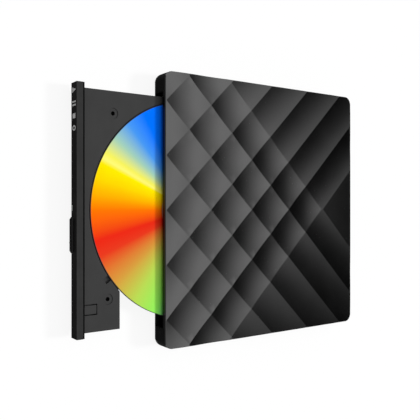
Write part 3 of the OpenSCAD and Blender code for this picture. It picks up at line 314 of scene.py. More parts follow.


# the disc: a painted rainbow about the spindle over the recorded band, standing in for the colours that band
# reflects from the light; plain rings within and without
discLook = {
    "radius": 60, "wheelsPerTurn": 2.0,
    # painted reflection: rainbow colours with a pale yellow streak, turning with the disc
    "paintedRainbow": [(0.00, (0.03, 0.50, 0.62, 1)), (0.09, (0.0, 0.155, 1.0, 1)), (0.167, (0.0, 0.165, 1.0, 1)),
              (0.225, (0.06, 0.30, 0.85, 1)), (0.285, (0.35, 0.60, 0.46, 1)), (0.335, (0.88, 0.85, 0.10, 1)),
              (0.352, (0.95, 0.89, 0.18, 1)), (0.365, (1.0, 0.80, 0.0, 1)), (0.41, (1.0, 0.66, 0.0, 1)),
              (0.50, (1.0, 0.17, 0.0, 1)), (0.585, (0.80, 0.018, 0.006, 1)), (0.63, (0.78, 0.04, 0.012, 1)),
              (0.72, (0.65, 0.33, 0.048, 1)), (0.80, (0.46, 0.68, 0.085, 1)), (0.88, (0.27, 0.87, 0.105, 1)),
              (1.00, (0.03, 0.50, 0.62, 1))],
    # radius in mm, share of the painted rainbow
    "rings": [(7.5, 0.0), (17.3, 0.0), (17.6, 0.45), (18.2, 0.45), (18.5, 1.0), (59.6, 1.0), (59.8, 0.0)],
    "plain": [(0.9, (0.34, 0.36, 0.38, 1)), (0.99, (0.05, 0.05, 0.055, 1))],
    "turnsPerMm": 2.4, "relief": 0.0000012,
    "shader": {"Specular IOR Level": 0.0, "Roughness": 0.30, "Metallic": 0.0,
               "Coat Weight": 0.03, "Coat Roughness": 0.05},
}
inMm = (1/mm, 1/mm, 1/mm)


def discFinish(name, look):
    mat, tree, shader = newFinish(name, look["shader"])
    space = objectSpace(tree, inMm, (-spindle.x/mm, -spindle.y/mm, 0))
    flat = vectorOn(tree, "MULTIPLY", space, (1, 1, 0))
    dial = addNode(tree, "ShaderNodeTexGradient", {"Vector": flat}, gradient_type="RADIAL")
    turned = mathOn(tree, "MULTIPLY", dial.outputs["Fac"], look["wheelsPerTurn"])
    paintedRainbow = rampOn(tree, mathOn(tree, "FRACT", turned), look["paintedRainbow"])
    radius = vectorOn(tree, "LENGTH", flat)
    share = mathOn(tree, "MULTIPLY", radius, 1/look["radius"])
    band = rampOn(tree, share, [(r/look["radius"], gray(v)) for r, v in look["rings"]])
    plain = rampOn(tree, share, look["plain"])
    grooves = mathOn(tree, "SINE", mathOn(tree, "MULTIPLY", radius, look["turnsPerMm"]*2*math.pi))
    setInputs(tree, shader, {"Base Color": mixOn(tree, band, plain, paintedRainbow),
                             "Normal": bumpOn(tree, grooves, look["relief"])})
    return mat


finishes["disc_plastic"] = discFinish("disc_plastic", discLook)

# printed marks and plated contacts
printLook = {"dark": gray(0.46), "light": gray(0.58), "roughness": (0.55, 0.70), "cloudScale": 900,
             "grainScale": 5000, "grainDepth": 0.000003}
goldLook = {"dark": (0.62, 0.42, 0.13, 1), "light": (0.74, 0.52, 0.18, 1), "roughness": (0.22, 0.32),
            "cloudScale": 700, "grainScale": 3000, "grainDepth": 0.000002, "shader": {"Metallic": 1.0}}
finishes["markPrint"] = grainFinish("markPrint", printLook)
finishes["contactGold"] = grainFinish("contactGold", goldLook)

# the lid's front edge: matt black as painted shade, polished over the mouth, where it mirrors what comes out
lipLook = {"polished": 54.0, "fade": 2.5, "weight": 0.7, "gloss": 0.06}


def lipFinish(name, look):
    mat = grainFinish(name, mouldings["painted_shade_black"])
    tree = mat.node_tree
    place = addNode(tree, "ShaderNodeSeparateXYZ", {0: objectSpace(tree, inMm)})
    aside = mathOn(tree, "ABSOLUTE", place.outputs["X"])
    end = look["polished"]
    setInputs(tree, tree.nodes["Principled BSDF"], {
        "Coat Roughness": look["gloss"],
        "Coat Weight": rangeOn(tree, aside, look["weight"], 0.0, end, end + look["fade"])})
    return mat


finishes["lipBlack"] = lipFinish("lipBlack", lipLook)

# every solid takes the finish of its slot in the record
for part in frame["record"]["subparts"]:
    body = nodes[part["node"]]
    body.data.materials.clear()
    body.data.materials.append(finishes[part["material_slot"]])
    for face in body.data.polygons:
        face.material_index = 0

# faces with a finish of their own: the lid's sides and lip, the fronts, painted matt black as shade, the
# bezel's ledge, painted black as shade, and the bezel's hook
facePaint = {"lidUp": 0.5, "flatUp": 0.9, "frontTurn": -0.35, "flatFront": -0.9,
             "frontSkin": 0.5, "lipDrop": 0.2, "hookFrom": 4.4}


def paintFaces(nodeName, finish, isPainted):
    body = nodes[nodeName]
    body.data.materials.append(finishes[finish])
    slot = len(body.data.materials) - 1
    for face in body.data.polygons:
        if isPainted(face):
            face.material_index = slot


def isSide(face):
    return face.normal.z < facePaint["lidUp"]


def isFront(face):
    return face.normal.y < facePaint["frontTurn"] and isSide(face)


def isLedge(face):
    lipFoot = bezelHigh.z - facePaint["lipDrop"]*mm
    return face.normal.z > facePaint["flatUp"] and face.center.z < lipFoot


def isHook(face):
    return face.center.y > bezelLow.y + facePaint["hookFrom"]*mm


def isLip(face):
    skin = caseLow.y + facePaint["frontSkin"]*mm
    return face.normal.y < facePaint["flatFront"] and face.center.y < skin


paintFaces("top_cover", "case_plastic", isSide)
# the fronts, which face away from the light, are painted near-black and unreflecting as shade
for nodeName in ("top_cover", "bottom_cover", "bezel", "eject_button"):
    paintFaces(nodeName, "painted_shade_black", isFront)
# the bezel's low rear ledge is painted black as shade
paintFaces("bezel", "painted_shade_black", isLedge)
paintFaces("bezel", "tray_plastic", isHook)
paintFaces("top_cover", "lipBlack", isLip)

# the tray's two small pockets have holes painted black as shade, placed from its left or right edge and from
# its front
pocketLook = {"holes": [(11.5, 16.3), (-15.9, 13.3)], "reach": 1.3, "from": 0.5, "to": 2.0}


def inPocketHole(face):
    below = (trayHigh.z - face.center.z)/mm
    for aside, back in pocketLook["holes"]:
        x = (trayLow.x if aside > 0 else trayHigh.x) + aside*mm
        off = Vector((face.center.x - x, face.center.y - trayLow.y - back*mm)).length
        if off < pocketLook["reach"]*mm and pocketLook["from"] < below < pocketLook["to"]:
            return True
    return False


paintFaces("tray", "painted_shade_black", inPocketHole)
print("fronts, lips, hook and pockets painted")


# mesh helpers

micron = 1e-6


# the separate solids of one node, as (low, high), in order of x then y
def solidBoxes(nodeName):
    mesh = nodes[nodeName].data
    owner = {}

    def find(key):
        while owner[key] != key:
            owner[key] = owner[owner[key]]
            key = owner[key]
        return key

    spots = [tuple(round(c/micron) for c in v.co) for v in mesh.vertices]
    for spot in spots:
        owner.setdefault(spot, spot)
    for face in mesh.polygons:
        first = find(spots[face.vertices[0]])
        for index in face.vertices[1:]:
            owner[find(spots[index])] = first
    groups = {}
    for spot in owner:
        groups.setdefault(find(spot), []).append(spot)
    boxes = []
    for members in groups.values():
        low = Vector(min(m[k] for m in members) for k in range(3))*micron
        high = Vector(max(m[k] for m in members) for k in range(3))*micron
        boxes.append((low, high))
    return sorted(boxes, key=lambda b: (round(b[0].x, 5), round(b[0].y, 5)))


def addPiece(name, mesh, body, finish):
    piece = bpy.data.objects.new(name, mesh)
    scene.collection.objects.link(piece)
    if not mesh.materials:
        mesh.materials.append(finishes[finish])
    if body:
        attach(piece, body)
    return piece


def meshFrom(name, corners, faces):
    mesh = bpy.data.meshes.new(name)
    mesh.from_pydata(corners, [], faces)
    mesh.validate()
    mesh.update()
    return mesh


# Geometry Nodes helpers

def startTree(name, sizes):
    tree = bpy.data.node_groups.new(name, "GeometryNodeTree")
    face = tree.interface
    face.new_socket("Geometry", in_out="INPUT", socket_type="NodeSocketGeometry")
    for label in sizes:
        face.new_socket(label, in_out="INPUT", socket_type="NodeSocketFloat")
    face.new_socket("Geometry", in_out="OUTPUT", socket_type="NodeSocketGeometry")
    return tree, tree.nodes.new("NodeGroupInput").outputs


def painted(tree, geometry, finish):
    node = addNode(tree, "GeometryNodeSetMaterial", {"Geometry": geometry, "Material": finishes[finish]})
    return node.outputs["Geometry"]


# a copy of the shape on every spot, as one mesh; a finish is left out where the shape has its own
def endTree(tree, sockets, shape, finish=None):
    turn = addNode(tree, "GeometryNodeInputNamedAttribute", {"Name": "turn"}, data_type="FLOAT_VECTOR")
    asTurn = addNode(tree, "FunctionNodeEulerToRotation", {"Euler": turn.outputs["Attribute"]})
    put = addNode(tree, "GeometryNodeInstanceOnPoints",
                  {"Points": sockets["Geometry"], "Instance": shape, "Rotation": asTurn.outputs["Rotation"]})
    realize = addNode(tree, "GeometryNodeRealizeInstances", {"Geometry": put.outputs["Instances"]})
    whole = realize.outputs["Geometry"]
    if finish:
        whole = painted(tree, whole, finish)
    addNode(tree, "NodeGroupOutput", {"Geometry": whole})


# spots are (place, turn) pairs that the tree's shape stands on
def growMesh(name, tree, spots, sizes):
    base = bpy.data.meshes.new(name + "Spots")
    base.from_pydata([tuple(place) for place, turn in spots], [], [])
    turns = base.attributes.new("turn", "FLOAT_VECTOR", "POINT")
    for item, (place, turn) in zip(turns.data, spots):
        item.vector = turn
    holder = bpy.data.objects.new(name + "Base", base)
    scene.collection.objects.link(holder)
    maker = holder.modifiers.new("maker", "NODES")
    maker.node_group = tree
    for item in tree.interface.items_tree:
        if item.item_type == "SOCKET" and item.in_out == "INPUT" and item.name in sizes:
            maker[item.identifier] = sizes[item.name]
    graph = bpy.context.evaluated_depsgraph_get()
    mesh = bpy.data.meshes.new_from_object(holder.evaluated_get(graph), depsgraph=graph)
    holder.modifiers.remove(maker)
    bpy.data.objects.remove(holder)
    mesh.name = name
    return mesh


def xyz(tree, x=0, y=0, z=0):
    return addNode(tree, "ShaderNodeCombineXYZ", {"X": x, "Y": y, "Z": z}).outputs["Vector"]


def times(tree, source, factor):
    return mathOn(tree, "MULTIPLY", source, factor)


def moved(tree, geometry, offset=(0, 0, 0), turn=(0, 0, 0)):
    node = addNode(tree, "GeometryNodeTransform",
                   {"Geometry": geometry, "Translation": offset, "Rotation": turn})
    return node.outputs["Geometry"]


def block(tree, x, y, z, offset=(0, 0, 0)):
    cube = addNode(tree, "GeometryNodeMeshCube", {"Size": xyz(tree, x, y, z)})
    return moved(tree, cube.outputs["Mesh"], offset)


def rod(tree, radius, length, sides):
    node = addNode(tree, "GeometryNodeMeshCylinder", {"Vertices": sides, "Radius": radius, "Depth": length})
    return moved(tree, node.outputs["Mesh"], xyz(tree, z=times(tree, length, 0.5)))


def coil(tree, rounds, radius, length, strand, steps, sides):
    helix = addNode(tree, "GeometryNodeCurveSpiral",
                    {"Resolution": steps, "Rotations": rounds, "Start Radius": radius, "End Radius": radius,
                     "Height": length})
    section = addNode(tree, "GeometryNodeCurvePrimitiveCircle", {"Resolution": sides, "Radius": strand})
    sweep = addNode(tree, "GeometryNodeCurveToMesh",
                    {"Curve": helix.outputs["Curve"], "Profile Curve": section.outputs["Curve"],
                     "Fill Caps": True})
    return sweep.outputs["Mesh"]


def combine(tree, parts, how):
    node = addNode(tree, "GeometryNodeMeshBoolean", operation=how)
    if how == "DIFFERENCE":
        tree.links.new(parts[0], node.inputs["Mesh 1"])
        parts = parts[1:]
    for part in parts:
        tree.links.new(part, node.inputs["Mesh 2"])
    return node.outputs["Mesh"]


def joined(tree, parts):
    node = addNode(tree, "GeometryNodeJoinGeometry")
    for part in parts:
        tree.links.new(part, node.inputs["Geometry"])
    return node.outputs["Geometry"]


# screws: a flat head with a crossed recess, and a threaded shank; in shares of the head and the shank
screwShape = {"recessLong": 1.15, "recessWide": 0.26, "recessDeep": 1.1, "headSides": 32,
              "coreWide": 0.82, "coreFrom": 0.98, "coreSides": 20,
              "threadWide": 0.88, "threadLong": 0.9, "threadFrom": 1.05, "threadSteps": 14,
              "ridge": 0.11, "ridgeSides": 4}


def screwTree(finish):
    tree, sizes = startTree("crossHeadScrew",
                            ("Head Radius", "Head Height", "Shank Radius", "Shank Length", "Pitch"))

    def shareOf(size, share):
        return times(tree, sizes[size], screwShape[share])

    head = rod(tree, sizes["Head Radius"], sizes["Head Height"], screwShape["headSides"])
    bars = []
    for turn in (0, math.pi/2):
        bar = block(tree, shareOf("Head Radius", "recessLong"), shareOf("Head Radius", "recessWide"),
                    shareOf("Head Height", "recessDeep"))
        bars.append(moved(tree, bar, turn=(0, 0, turn)))
    cut = combine(tree, [head, combine(tree, bars, "UNION")], "DIFFERENCE")
    core = rod(tree, shareOf("Shank Radius", "coreWide"), sizes["Shank Length"], screwShape["coreSides"])
    core = moved(tree, core, xyz(tree, z=shareOf("Head Height", "coreFrom")))
    length = shareOf("Shank Length", "threadLong")
    rounds = mathOn(tree, "DIVIDE", length, sizes["Pitch"])
    thread = coil(tree, rounds, shareOf("Shank Radius", "threadWide"), length, shareOf("Shank Radius", "ridge"),
                  screwShape["threadSteps"], screwShape["ridgeSides"])
    thread = moved(tree, thread, xyz(tree, z=shareOf("Head Height", "threadFrom")))
    endTree(tree, sizes, joined(tree, [cut, core, thread]), finish)
    return tree


crossHead = screwTree("screw_steel")
recessTurn = {"first": 0.35, "step": 0.9}      # no two recesses line up
screwSets = {
    "caseScrews": {"node": "case_screws", "body": "enclosure", "axis": "z", "headUp": False,
                   "headRadius": 1.9, "headHeight": 1.0, "shankRadius": 0.8, "pitch": 0.7},
    "bellyScrews": {"node": "belly_screws", "body": "drawer", "axis": "z", "headUp": False,
                    "headRadius": 1.5, "headHeight": 0.4, "shankRadius": 0.7, "pitch": 0.5},
    "bridgeScrews": {"node": "bridge_screws", "body": "enclosure", "axis": "z", "headUp": True,
                     "headRadius": 1.6, "headHeight": 0.8, "shankRadius": 0.7, "pitch": 0.5},
    "chassisScrews": {"node": "chassis_screws", "body": "enclosure", "axis": "x", "headUp": False,
                      "headRadius": 0.95, "headHeight": 0.4, "shankRadius": 0.6, "pitch": 0.4},
}
for name, screwSet in screwSets.items():
    spots = []
    for count, (low, high) in enumerate(solidBoxes(screwSet["node"])):
        middle = (low + high)/2
        slant = recessTurn["first"] + recessTurn["step"]*count
        if screwSet["axis"] == "z":
            length = high.z - low.z
            if screwSet["headUp"]:
                spots.append(((middle.x, middle.y, high.z), (math.pi, 0, slant)))
            else:
                spots.append(((middle.x, middle.y, low.z), (0, 0, slant)))
        else:
            length = high.x - low.x
            outer, turn = (high.x, -math.pi/2) if middle.x > 0 else (low.x, math.pi/2)
            spots.append(((outer, middle.y, middle.z), (0, turn, 0)))
    sizes = {"Head Radius": screwSet["headRadius"]*mm, "Head Height": screwSet["headHeight"]*mm,
             "Shank Radius": screwSet["shankRadius"]*mm, "Pitch": screwSet["pitch"]*mm,
             "Shank Length": length - screwSet["headHeight"]*mm}
    mesh = growMesh(name, crossHead, spots, sizes)
    piece = addPiece(name, mesh, screwSet["body"], "screw_steel")
    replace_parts(piece, screwSet["node"])
print("screws:", ", ".join(screwSets))


# lead screw: a ground rod with a coarse rounded thread
leadScrew = {"coreShare": 0.86, "coreSides": 28, "pitch": 3.0, "starts": 2,
             "threadShare": 0.9, "threadSteps": 20, "ridgeShare": 0.13, "ridgeSides": 6}


def leadScrewTree(finish):
    tree, sizes = startTree("leadScrewThread", ("Radius", "Length", "Rounds"))
    radius = times(tree, sizes["Radius"], leadScrew["coreShare"])
    parts = [rod(tree, radius, sizes["Length"], leadScrew["coreSides"])]
    plainEnd = xyz(tree, z=times(tree, sizes["Length"], (1 - leadScrew["threadShare"])/2))
    for start in range(leadScrew["starts"]):
        ridge = coil(tree, sizes["Rounds"], radius, times(tree, sizes["Length"], leadScrew["threadShare"]),
                     times(tree, sizes["Radius"], leadScrew["ridgeShare"]), leadScrew["threadSteps"],
                     leadScrew["ridgeSides"])
        parts.append(moved(tree, ridge, plainEnd, (0, 0, start*2*math.pi/leadScrew["starts"])))
    endTree(tree, sizes, joined(tree, parts), finish)
    return tree


low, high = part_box("lead_screw")
length = high.y - low.y
spot = [(((low.x + high.x)/2, low.y, (low.z + high.z)/2), (-math.pi/2, 0, 0))]
sizes = {"Radius": (high.x - low.x)/2, "Length": length,
         "Rounds": leadScrew["threadShare"]*length/(leadScrew["pitch"]*mm)}
mesh = growMesh("leadScrewRod", leadScrewTree("bright_steel"), spot, sizes)
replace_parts(addPiece("leadScrewRod", mesh, "worm", "bright_steel"), "lead_screw")


# legs of the chips, one bent strip each; a side with fewer than the fewest, or a narrow end, has none
chipLegs = {"width": 0.22, "pitch": 0.5, "thick": 0.12, "reach": 0.7, "rise": 0.4, "margin": 0.8,
            "fewest": 4, "narrow": 4.0,
            # shares of the reach
            "footLong": 0.6, "footAt": 0.7, "shinAt": 0.42, "shoulderLong": 0.5, "shoulderAt": 0.2}


def legTree(finish):
    tree, sizes = startTree("chipLegs", ("Width", "Thick", "Reach", "Rise"))
    width, thick, rise = sizes["Width"], sizes["Thick"], sizes["Rise"]

    def out(share):
        return times(tree, sizes["Reach"], chipLegs[share])

    foot = block(tree, out("footLong"), width, thick, xyz(tree, out("footAt"), 0, times(tree, thick, 0.5)))
    shin = block(tree, thick, width, rise, xyz(tree, out("shinAt"), 0, times(tree, rise, 0.5)))
    shoulder = block(tree, out("shoulderLong"), width, thick, xyz(tree, out("shoulderAt"), 0, rise))
    endTree(tree, sizes, joined(tree, [foot, shin, shoulder]), finish)
    return tree


legs = legTree("screw_steel")
legSides = ((0, "y", "x"), (math.pi, "y", "x"), (math.pi/2, "x", "y"), (-math.pi/2, "x", "y"))
legRows = {"mainLegs": {"node": "main_chips", "body": "drawer"},
           "bridgeLegs": {"node": "bridge_chips", "body": "enclosure"}}
for name, row in legRows.items():
    spots = []
    for low, high in solidBoxes(row["node"]):
        for turn, along, across in legSides:
            span = getattr(high, along) - getattr(low, along) - chipLegs["margin"]*mm
            count = int(span/(chipLegs["pitch"]*mm)) + 1
            isNarrow = across == "y" and high.y - low.y < chipLegs["narrow"]*mm
            if count < chipLegs["fewest"] or isNarrow:
                continue
            edge = getattr(high if turn in (0, math.pi/2) else low, across)
            middle = (getattr(high, along) + getattr(low, along))/2
            for k in range(count):
                step = middle + (k - (count - 1)/2)*chipLegs["pitch"]*mm
                place = (edge, step, low.z) if along == "y" else (step, edge, low.z)
                spots.append((place, (0, 0, turn)))
    sizes = {label: chipLegs[label.lower()]*mm for label in ("Width", "Thick", "Reach", "Rise")}
    addPiece(name, growMesh(name, legs, spots, sizes), row["body"], "screw_steel")


# small parts on the boards: a pale block with tinned ends, in rows
smallParts = {
    "mainParts": {"node": "main_board", "keepOff": "main_chips", "body": "drawer", "step": (3.4, 3.0),
                  "size": (1.0, 0.5, 0.35), "clear": 2.2, "margin": 4.2},
    "bridgeParts": {"node": "bridge_board", "keepOff": "bridge_chips", "body": "enclosure",
                    "step": (4.6, 2.4), "size": (1.0, 0.5, 0.35), "clear": 1.6, "margin": 1.4},
}
# shares of the part's length, width and height
smallShape = {"core": 0.5, "end": 0.25, "endAt": 0.375, "endWide": 1.06, "endHigh": 1.04}


def smallPartTree(finish, endFinish):
    tree, sizes = startTree("smallBoardPart", ("Length", "Width", "Height"))
    length, width, height = sizes["Length"], sizes["Width"], sizes["Height"]
    core = block(tree, times(tree, length, smallShape["core"]), width, height)
    ends = []
    for side in (-1, 1):
        ends.append(block(tree, times(tree, length, smallShape["end"]),
                          times(tree, width, smallShape["endWide"]),
                          times(tree, height, smallShape["endHigh"]),
                          xyz(tree, times(tree, length, side*smallShape["endAt"]))))
    parts = [painted(tree, core, finish), painted(tree, joined(tree, ends), endFinish)]
    endTree(tree, sizes, moved(tree, joined(tree, parts), xyz(tree, z=times(tree, height, 0.5))))
    return tree


smallPart = smallPartTree("guide_plastic", "screw_steel")
for name, look in smallParts.items():
    low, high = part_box(look["node"])
    blocked = solidBoxes(look["keepOff"])
    if look["body"] == "enclosure":
        blocked += [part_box("bridge_socket"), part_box("cable_socket")] + solidBoxes("bridge_screws")
    spots = []
    margin, near = look["margin"]*mm, look["clear"]*mm
    xStep, yStep = (v*mm for v in look["step"])
    rows = int((high.y - low.y - 2*margin)/yStep) + 1
    columns = int((high.x - low.x - 2*margin)/xStep) + 1
    for row in range(rows):
        for column in range(columns):
            if (3*row + 5*column + row*column) % 7 in (0, 3):       # gaps in the rows
                continue
            x = low.x + margin + column*xStep
            y = low.y + margin + row*yStep
            if any(b[0].x - near < x < b[1].x + near and b[0].y - near < y < b[1].y + near for b in blocked):
                continue
            spots.append(((x, y, high.z), (0, 0, (row + column) % 2*math.pi/2)))
    sizes = dict(zip(("Length", "Width", "Height"), (v*mm for v in look["size"])))
    addPiece(name, growMesh(name, smallPart, spots, sizes), look["body"], "white_plastic")
    print(name, len(spots))


# gold contacts in rows on both sides of the inlet's tongue
inletContacts = {"count": 8, "pitch": 0.7, "width": 0.32, "thick": 0.06, "length": 4.6, "tongueHalf": 0.35,
                 "fromRear": 0.9}


def contactTree(finish):
    tree, sizes = startTree("contactRow", ("Width", "Length", "Thick"))
    endTree(tree, sizes, block(tree, sizes["Width"], sizes["Length"], sizes["Thick"]), finish)
    return tree


low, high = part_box("cable_socket")
middle = (low + high)/2
y = high.y - (inletContacts["fromRear"] + inletContacts["length"]/2)*mm
spots = []
for side in (-1, 1):
    z = middle.z + side*(inletContacts["tongueHalf"] + inletContacts["thick"]/2)*mm
    for k in range(inletContacts["count"]):
        x = middle.x + (k - (inletContacts["count"] - 1)/2)*inletContacts["pitch"]*mm
        spots.append(((x, y, z), (0, 0, 0)))
sizes = {label: inletContacts[label.lower()]*mm for label in ("Width", "Length", "Thick")}
mesh = growMesh("inletContacts", contactTree("contactGold"), spots, sizes)
addPiece("inletContacts", mesh, "enclosure", "contactGold")


# windings on the stator's teeth
windings = {"teeth": 9, "turns": 7, "inner": 4.7, "outer": 8.0, "radius": 0.92, "flat": 0.72,
            "turnSteps": 12, "wire": 0.17, "wireSides": 6}


def windingTree(finish):
    tree, sizes = startTree("toothWinding", ("Radius", "Wire", "Length", "Turns"))
    turns = coil(tree, sizes["Turns"], sizes["Radius"], sizes["Length"], sizes["Wire"], windings["turnSteps"],
                 windings["wireSides"])
    squeeze = addNode(tree, "GeometryNodeTransform", {"Geometry": turns, "Scale": (windings["flat"], 1, 1)})
    endTree(tree, sizes, squeeze.outputs["Geometry"], finish)
    return tree


low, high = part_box("stator")
inner = windings["inner"]*mm
spots = []
for k in range(windings["teeth"]):
    angle = 2*math.pi*k/windings["teeth"]
    place = (spindle.x + inner*math.cos(angle), spindle.y + inner*math.sin(angle), (low.z + high.z)/2)
    spots.append((place, (0, math.pi/2, angle)))
sizes = {"Radius": windings["radius"]*mm, "Wire": windings["wire"]*mm, "Turns": float(windings["turns"]),
         "Length": (windings["outer"] - windings["inner"])*mm}
mesh = growMesh("statorWindings", windingTree("copper_coil"), spots, sizes)
addPiece("statorWindings", mesh, "drawer", "copper_coil")
print("mechanism details in place")


# marks printed on the bezel: a wedge, two bars, a square and a ring
bezelMarks = {"spots": (-60.0, -53.2, -47.0, -41.0), "z": 8.9, "width": 2.7, "height": 4.4, "raise": 0.03,
              # shares of half the width and half the height
              "barAside": 0.6, "barWide": 0.3, "square": (0.9, 0.8), "ring": 0.5, "ringHigh": 0.9,
              "ringSides": 32}


# a flat outline in x and z, stood on a face that looks to -y
def raisedOutline(corners, faces, outline, face, height):
    start = len(corners)
    count = len(outline)
    corners += [(x, face, z) for x, z in outline]
    corners += [(x, face - height, z) for x, z in outline]
    faces.append(tuple(start + count + k for k in range(count)))
    faces.append(tuple(start + k for k in reversed(range(count))))
    for k in range(count):
        after = (k + 1) % count
        faces.append((start + k, start + after, start + count + after, start + count + k))


def oblong(x, z, w, h):
    return [(x - w, z - h), (x + w, z - h), (x + w, z + h), (x - w, z + h)]


def markMesh():
    z = bezelMarks["z"]*mm
    w = bezelMarks["width"]*mm/2
    h = bezelMarks["height"]*mm/2
    wedge, pair, square, ring = (x*mm for x in bezelMarks["spots"])
    outlines = [[(wedge - w, z - h), (wedge + w, z - h), (wedge, z + h)]]
    for side in (-1, 1):
        outlines.append(oblong(pair + side*bezelMarks["barAside"]*w, z, bezelMarks["barWide"]*w, h))
    wide, high = bezelMarks["square"]
    outlines.append(oblong(square, z, wide*w, high*h))
    hole, count = bezelMarks["ring"], bezelMarks["ringSides"]
    for k in range(count):
        arc = []
        for share, step in ((1, k), (1, k + 1), (hole, k + 1), (hole, k)):
            angle = 2*math.pi*step/count
            arc.append((ring + share*w*math.cos(angle), z + share*bezelMarks["ringHigh"]*h*math.sin(angle)))
        outlines.append(arc)
    corners, faces = [], []
    for outline in outlines:
        raisedOutline(corners, faces, outline, bezelLow.y, bezelMarks["raise"]*mm)
    return meshFrom("bezelMarks", corners, faces)


addPiece("bezelMarks", markMesh(), "drawer", "markPrint")


# ribbon cable: the lower run lies in the chassis, the upper run lies under the tray's belly plate
ribbonRun = {"thick": 0.12, "dockRise": 0.65, "corner": 0.25, "cornerCut": 0.07, "bend": 9,
             "gap": 0.05, "upperRun": 38.0, "upperSteps": 24}


def ribbonMesh(name, path, xLow, xHigh, thick):
    corners, faces = [], []
    count = len(path)
    for k, (y, z) in enumerate(path):
        before = Vector(path[max(k - 1, 0)])
        after = Vector(path[min(k + 1, count - 1)])
        along = (after - before).normalized()
        side = Vector((-along.y, along.x))*thick/2
        for sign in (-1, 1):
            for x in (xLow, xHigh):
                corners.append((x, y + sign*side.x, z + sign*side.y))
    for k in range(count - 1):
        a, b = 4*k, 4*k + 4
        faces += [(a, b, b + 1, a + 1), (a + 2, a + 3, b + 3, b + 2),
                  (a, a + 2, b + 2, b), (a + 1, b + 1, b + 3, a + 3)]
    faces += [(0, 1, 3, 2), (4*count - 4, 4*count - 2, 4*count - 1, 4*count - 3)]
    return meshFrom(name, corners, faces)


low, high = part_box("flex_cable")
thick, corner, cornerCut = (ribbonRun[key]*mm for key in ("thick", "corner", "cornerCut"))
lowZ = low.z + thick/2
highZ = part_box("belly_plate")[0].z - ribbonRun["gap"]*mm - thick/2
foldRadius = (highZ - lowZ)/2
foldY = low.y + foldRadius + thick/2
attachY = foldY + ribbonRun["upperRun"]*mm
dockY = high.y - thick/2
lowerPath = [(dockY, low.z + ribbonRun["dockRise"]*mm), (dockY, lowZ + corner),
             (dockY - cornerCut, lowZ + cornerCut), (dockY - corner, lowZ),
             ((high.y + foldY)/2, lowZ), (foldY, lowZ)]
upperPath = []
for k in range(ribbonRun["bend"]):
    angle = math.pi*k/(ribbonRun["bend"] - 1)
    upperPath.append((foldY - foldRadius*math.sin(angle), (lowZ + highZ)/2 - foldRadius*math.cos(angle)))
for k in range(1, ribbonRun["upperSteps"] + 1):
    upperPath.append((foldY + (attachY - foldY)*k/ribbonRun["upperSteps"], highZ))
lowerMesh = ribbonMesh("ribbonLower", lowerPath, low.x, high.x, thick)
lower = addPiece("ribbonLower", lowerMesh, "enclosure", "ribbon")
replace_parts(lower, "flex_cable")
upperMesh = ribbonMesh("ribbonUpper", upperPath, low.x, high.x, thick)
upper = addPiece("ribbonUpper", upperMesh, None, "ribbon")
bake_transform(upper)
print("ribbon laid")


# floor: pale to the eye, dim to the light that bounces off it
floorLook = {"half": 8.0, "white": 1.0, "whiteShare": 0.89, "paper": gray(0.95), "bounce": gray(0.34)}


def floorFinish():
    mat = bpy.data.materials.new("floorPaper")
    mat.use_nodes = True
    tree = mat.node_tree
    tree.nodes.remove(tree.nodes["Principled BSDF"])
    dim = addNode(tree, "ShaderNodeBsdfDiffuse", {"Color": floorLook["bounce"]})
    lit = addNode(tree, "ShaderNodeBsdfDiffuse", {"Color": floorLook["paper"]})
    glow = addNode(tree, "ShaderNodeEmission", {"Color": gray(1), "Strength": floorLook["white"]})
    pale = addNode(tree, "ShaderNodeMixShader",
                   {"Fac": floorLook["whiteShare"], 1: lit.outputs[0], 2: glow.outputs[0]})
    path = addNode(tree, "ShaderNodeLightPath")
    seen = path.outputs["Is Camera Ray"]
    for kind in ("Is Glossy Ray", "Is Transmission Ray"):
        seen = mathOn(tree, "ADD", seen, path.outputs[kind], use_clamp=True)
    pick = addNode(tree, "ShaderNodeMixShader", {"Fac": seen, 1: dim.outputs[0], 2: pale.outputs[0]})
    setInputs(tree, tree.nodes["Material Output"], {"Surface": pick.outputs[0]})
    return mat


half = floorLook["half"]
floorCorners = [(-half, -half, 0), (half, -half, 0), (half, half, 0), (-half, half, 0)]
floorMesh = meshFrom("floor", floorCorners, [(0, 1, 2, 3)])
floorMesh.materials.append(floorFinish())
floor = bpy.data.objects.new("floor", floorMesh)
scene.collection.objects.link(floor)


# light: a wide soft glow overhead that fades out to the sides, a bright horizon and a weak fill between them
lightLook = {"aim": (-0.15, 0.15, 0.98), "stretch": (0.8, 1.0, 1.0), "peak": 1.95,
             # degrees off the aim, share of the peak
             "glow": [(0, 0.32), (5, 0.44), (10, 0.66), (14, 0.82), (19, 0.91), (22, 0.85), (25, 0.67),
                      (27.5, 0.53), (30, 0.39), (32.5, 0.26), (35, 0.145), (37.5, 0.067), (40, 0.03),
                      (43, 0.01), (46, 0)],
             # height of the direction, brightness
             "horizon": [(0.09, 1.0), (0.16, 0.7), (0.28, 0.42), (0.52, 0.0)],
             "fill": [(0.25, 0.0), (0.45, 0.26), (0.70, 0.26), (0.88, 0.0)],
             # the fill stays off the dark rear that the lid mirrors, degrees off its middle
             "rear": (0.03, 0.80, 0.60), "rearEdge": (38, 58)}


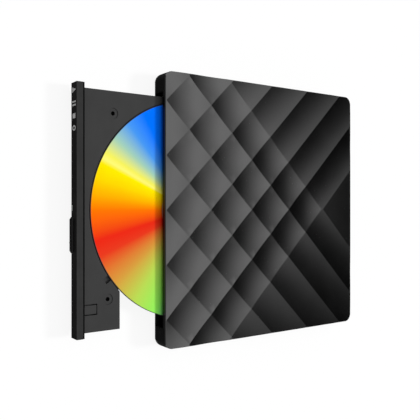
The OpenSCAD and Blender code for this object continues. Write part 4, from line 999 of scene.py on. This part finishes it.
def buildLight():
    world = bpy.data.worlds.new("studio")
    world.use_nodes = True
    scene.world = world
    tree = world.node_tree
    peak = lightLook["peak"]
    toward = addNode(tree, "ShaderNodeTexCoord").outputs["Generated"]
    offAim = vectorOn(tree, "SUBTRACT", toward, Vector(lightLook["aim"]).normalized())
    chord = vectorOn(tree, "LENGTH", vectorOn(tree, "MULTIPLY", offAim, lightLook["stretch"]))
    glow = rampOn(tree, chord, [(2*math.sin(math.radians(off)/2), gray(share))
                                for off, share in lightLook["glow"]])
    height = addNode(tree, "ShaderNodeSeparateXYZ", {0: toward}).outputs["Z"]
    horizon, fill = (rampOn(tree, height, [(spot, gray(level/peak)) for spot, level in lightLook[layer]])
                     for layer in ("horizon", "fill"))
    near, far = (math.cos(math.radians(off)) for off in lightLook["rearEdge"])
    offRear = rangeOn(tree, vectorOn(tree, "DOT_PRODUCT", toward, lightLook["rear"]), 1.0, 0.0, far, near)
    sides = addNode(tree, "ShaderNodeVectorMath", {0: fill, "Scale": offRear}, operation="SCALE")
    total = mixOn(tree, 1.0, glow, horizon, "ADD")
    total = mixOn(tree, 1.0, total, sides.outputs["Vector"], "ADD")
    setInputs(tree, tree.nodes["Background"], {"Color": total, "Strength": peak})


# a lamp high behind the case, so that the lid shades the disc in its mouth; gloss doesn't mirror it
rearLamp = {"strength": 1.95, "off": 43, "spread": 11}


def buildRearLamp():
    lamp = bpy.data.lights.new("rearLamp", "SUN")
    lamp.energy = rearLamp["strength"]
    lamp.angle = math.radians(rearLamp["spread"])
    stand = bpy.data.objects.new("rearLamp", lamp)
    stand.rotation_euler.x = -math.radians(rearLamp["off"])
    stand.visible_glossy = False
    scene.collection.objects.link(stand)


buildLight()
buildRearLamp()

# camera fitted to the photograph's edges, in pixels, and in mm from the middle of the case's front foot
cameraFit = {"image": 420, "focal": 595.52, "middle": (203.71, 205.40), "spot": (-2.53, -164.65, 288.42),
             "tilt": 34.762, "sensor": 36, "nearest": 10}


def buildCamera():
    image = cameraFit["image"]
    lens = bpy.data.cameras.new("camera")
    lens.sensor_width = cameraFit["sensor"]
    lens.lens = cameraFit["sensor"]*cameraFit["focal"]/image
    lens.shift_x = (image/2 - cameraFit["middle"][0])/image
    lens.shift_y = (cameraFit["middle"][1] - image/2)/image
    lens.clip_start = cameraFit["nearest"]*mm
    eye = bpy.data.objects.new("camera", lens)
    tilt = math.radians(cameraFit["tilt"])
    right = Vector((0, math.cos(tilt), math.sin(tilt)))
    up = Vector((-1, 0, 0))
    back = Vector((0, -math.sin(tilt), math.cos(tilt)))
    turn = Matrix((right, up, back)).transposed().to_4x4()
    x, y, z = cameraFit["spot"]
    eye.matrix_world = Matrix.Translation((x*mm, caseLow.y + y*mm, z*mm)) @ turn
    scene.collection.objects.link(eye)
    scene.camera = eye


buildCamera()
scene.view_settings.view_transform = "Standard"
print("floor, light and camera set")
